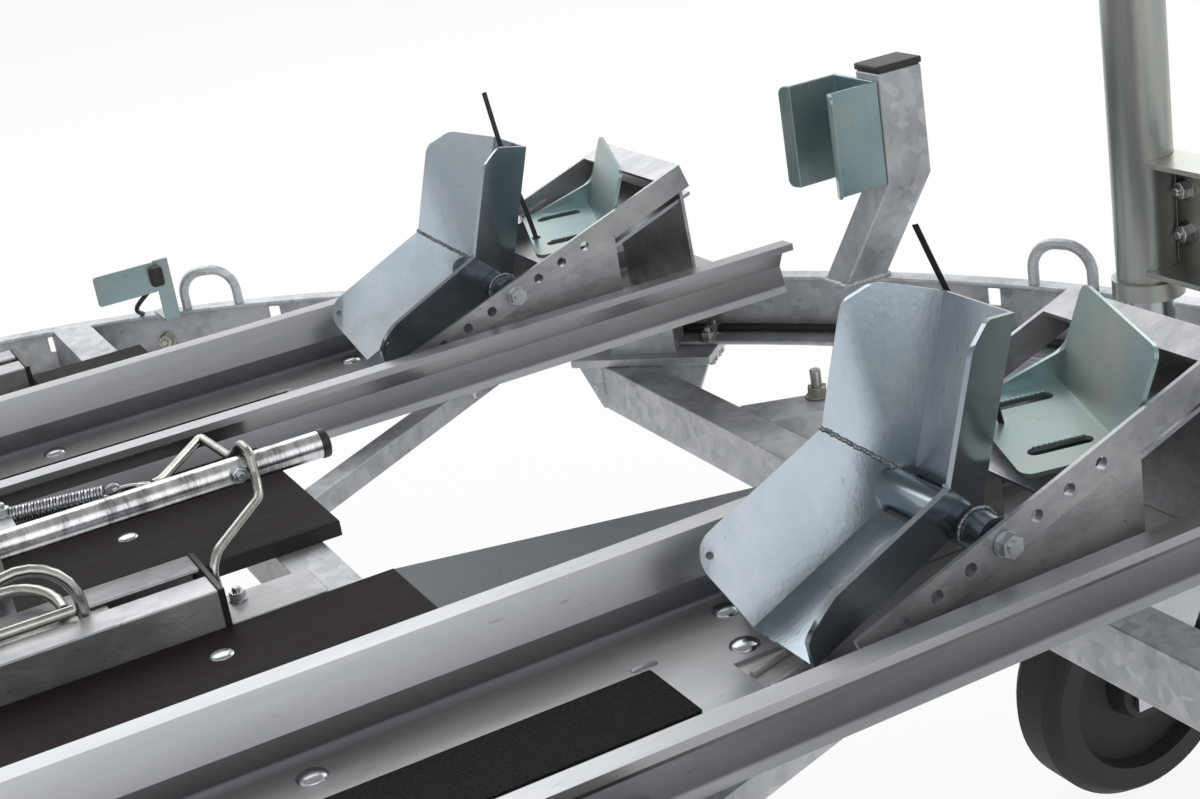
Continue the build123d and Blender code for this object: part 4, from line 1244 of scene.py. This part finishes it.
# Jack: rubber tread on a plastic wheel, and a grip on the crank
jack = {
    "wheelAxis": (1.206, 0.265, 0.100),
    "tyreInner": 0.074,
    "tyreOuter": 0.0995,
    "tyreHalf": 0.0274,
    "shoulder": (0.008, 0.011),
    "gripPlace": (1.386, 0.265, 0.942),
    "grip": (0.0135, 0.070),
}


def makeJackParts():
    inner, outer, half = jack["tyreInner"], jack["tyreOuter"], jack["tyreHalf"]
    down, inward = jack["shoulder"]
    side = [(inner, -half), (outer - down, -half), (outer, inward - half)]
    piece = spinSection(side + [(radius, -y) for radius, y in side[::-1]], 64)
    soften(piece, 0.003, 3)
    piece.location = place(*jack["wheelAxis"])
    fit(piece, "jack_tyre", "jack_wheel_body", blackRubber)
    grip = startRound(*jack["grip"], 24, place(*jack["gripPlace"]))
    for way in (1, -1):
        insetFaces(grip, (0, 0, way), 0.004)
    soften(grip, 0.003, 3)
    fit(grip, "crank_grip", "frame", blackPlastic)


# Dressing all pieces
outlines = {
    "wheel_stops": lambda piece: roundOutline(piece, 0.008, 100, (0.0029, 0.0031)),
    "post_cradles": lambda piece: roundOutline(piece, 0.007, 100, (0.0029, 0.0031)),
}
for name, (material, slotName, rounding) in surfaces.items():
    nodes[name].data.materials.clear()
    nodes[name].data.materials.append(material)
    if rounding > 0 and not name.startswith("rocker") and not name.startswith("planks"):
        dressNode(name, outlines.get(name))
print("surfaces on", len(surfaces), "pieces")
makeRockers()
print("rockers ready")
makeRailParts()
makePlanks()
makeLashing()
makeLatch()
makeTies()
print("rails and deck ready")
makeFixings()
makeMarkers()
makeTeeth()
makeWelds()
makeTyre("left", 1)
makeTyre("right", -1)
makeLamps()
makeJackParts()
print("frame, wheels and jack ready")


# Studio: pale floor and world, soft lamps, and the camera at the photograph's view
studio = {
    "floorLevel": -0.0005,
    "floorSize": 240.0,
    "floorColor": (0.86, 0.86, 0.86),
    "worldLevel": 0.8,
    "backgroundLevel": 1.0,
    "ceiling": (0.35, 0.8, 0.45),
    "floorShare": 0.9,
    "lamps": (
        ("keyLamp", (0.3, 3.8, 3.6), 3.4, 75),
        ("sideLamp", (4.5, 2.5, 3.2), 3.2, 80),
        ("frontLamp", (-0.5, -4.8, 2.4), 5.0, 65),
    ),
    "aim": (0.8, 0.0, 0.4),
    "cameraPlace": (0.2672, -0.8651, 0.9456),
    "cameraTurn": (69.3337, 8.8178, -27.4357),
    "lens": 58.15,
    "sensor": 36,
}


def seenRays(tree):
    # 1 for what the camera sees directly, in a mirror or through glass
    light = tree.nodes.new("ShaderNodeLightPath")
    seen = mathNode(tree, "MAXIMUM", light.outputs["Is Camera Ray"], light.outputs["Is Glossy Ray"])
    return mathNode(tree, "MAXIMUM", seen, light.outputs["Is Transmission Ray"])


def makeFloor():
    bpy.ops.object.select_all(action="DESELECT")
    bpy.ops.mesh.primitive_plane_add(size=studio["floorSize"], location=(0, 0, studio["floorLevel"]))
    floor = bpy.context.object
    floor.name = "studioFloor"
    material, tree, shader = newMaterial("studioFloor")
    shader.inputs["Base Color"].default_value = (*studio["floorColor"], 1)
    shader.inputs["Roughness"].default_value = 0.9
    glow = tree.nodes.new("ShaderNodeEmission")
    mix = tree.nodes.new("ShaderNodeMixShader")
    tree.links.new(mathNode(tree, "MULTIPLY", seenRays(tree), studio["floorShare"]), mix.inputs["Fac"])
    tree.links.new(shader.outputs["BSDF"], mix.inputs[1])
    tree.links.new(glow.outputs["Emission"], mix.inputs[2])
    output = [node for node in tree.nodes if node.type == "OUTPUT_MATERIAL"][0]
    tree.links.new(mix.outputs["Shader"], output.inputs["Surface"])
    floor.data.materials.append(material)


def makeWorld():
    world = bpy.data.worlds.new("studioWorld")
    bpy.context.scene.world = world
    world.use_nodes = True
    tree = world.node_tree
    background = tree.nodes["Background"]
    level = rangeNode(tree, seenRays(tree), 0.0, 1.0, studio["worldLevel"], studio["backgroundLevel"])
    way = tree.nodes.new("ShaderNodeSeparateXYZ")
    tree.links.new(tree.nodes.new("ShaderNodeTexCoord").outputs["Generated"], way.inputs["Vector"])
    start, end, share = studio["ceiling"]  # the room is dimmer overhead, where no view looks
    dim = rangeNode(tree, way.outputs["Z"], start, end, 1.0, share)
    tree.links.new(mathNode(tree, "MULTIPLY", level, dim), background.inputs["Strength"])
    background.inputs["Color"].default_value = (1, 1, 1, 1)


def makeLamplight():
    for name, spot, size, power in studio["lamps"]:
        lampData = bpy.data.lights.new(name, "AREA")
        lampData.energy = power
        lampData.size = size
        holder = newObject(name, lampData)
        holder.location = spot
        aim = place(*studio["aim"]) - Vector(spot)
        holder.rotation_euler = aim.to_track_quat("-Z", "Y").to_euler()


def makeCamera():
    data = bpy.data.cameras.new("photoCamera")
    data.lens = studio["lens"]
    data.sensor_width = studio["sensor"]
    data.clip_start = 0.01
    holder = newObject("photoCamera", data)
    holder.location = place(*studio["cameraPlace"])
    holder.rotation_euler = Euler([math.radians(a) for a in studio["cameraTurn"]])
    bpy.context.scene.camera = holder


makeFloor()
makeWorld()
makeLamplight()
makeCamera()
bpy.context.scene.view_settings.view_transform = "Standard"
print("studio and camera ready")
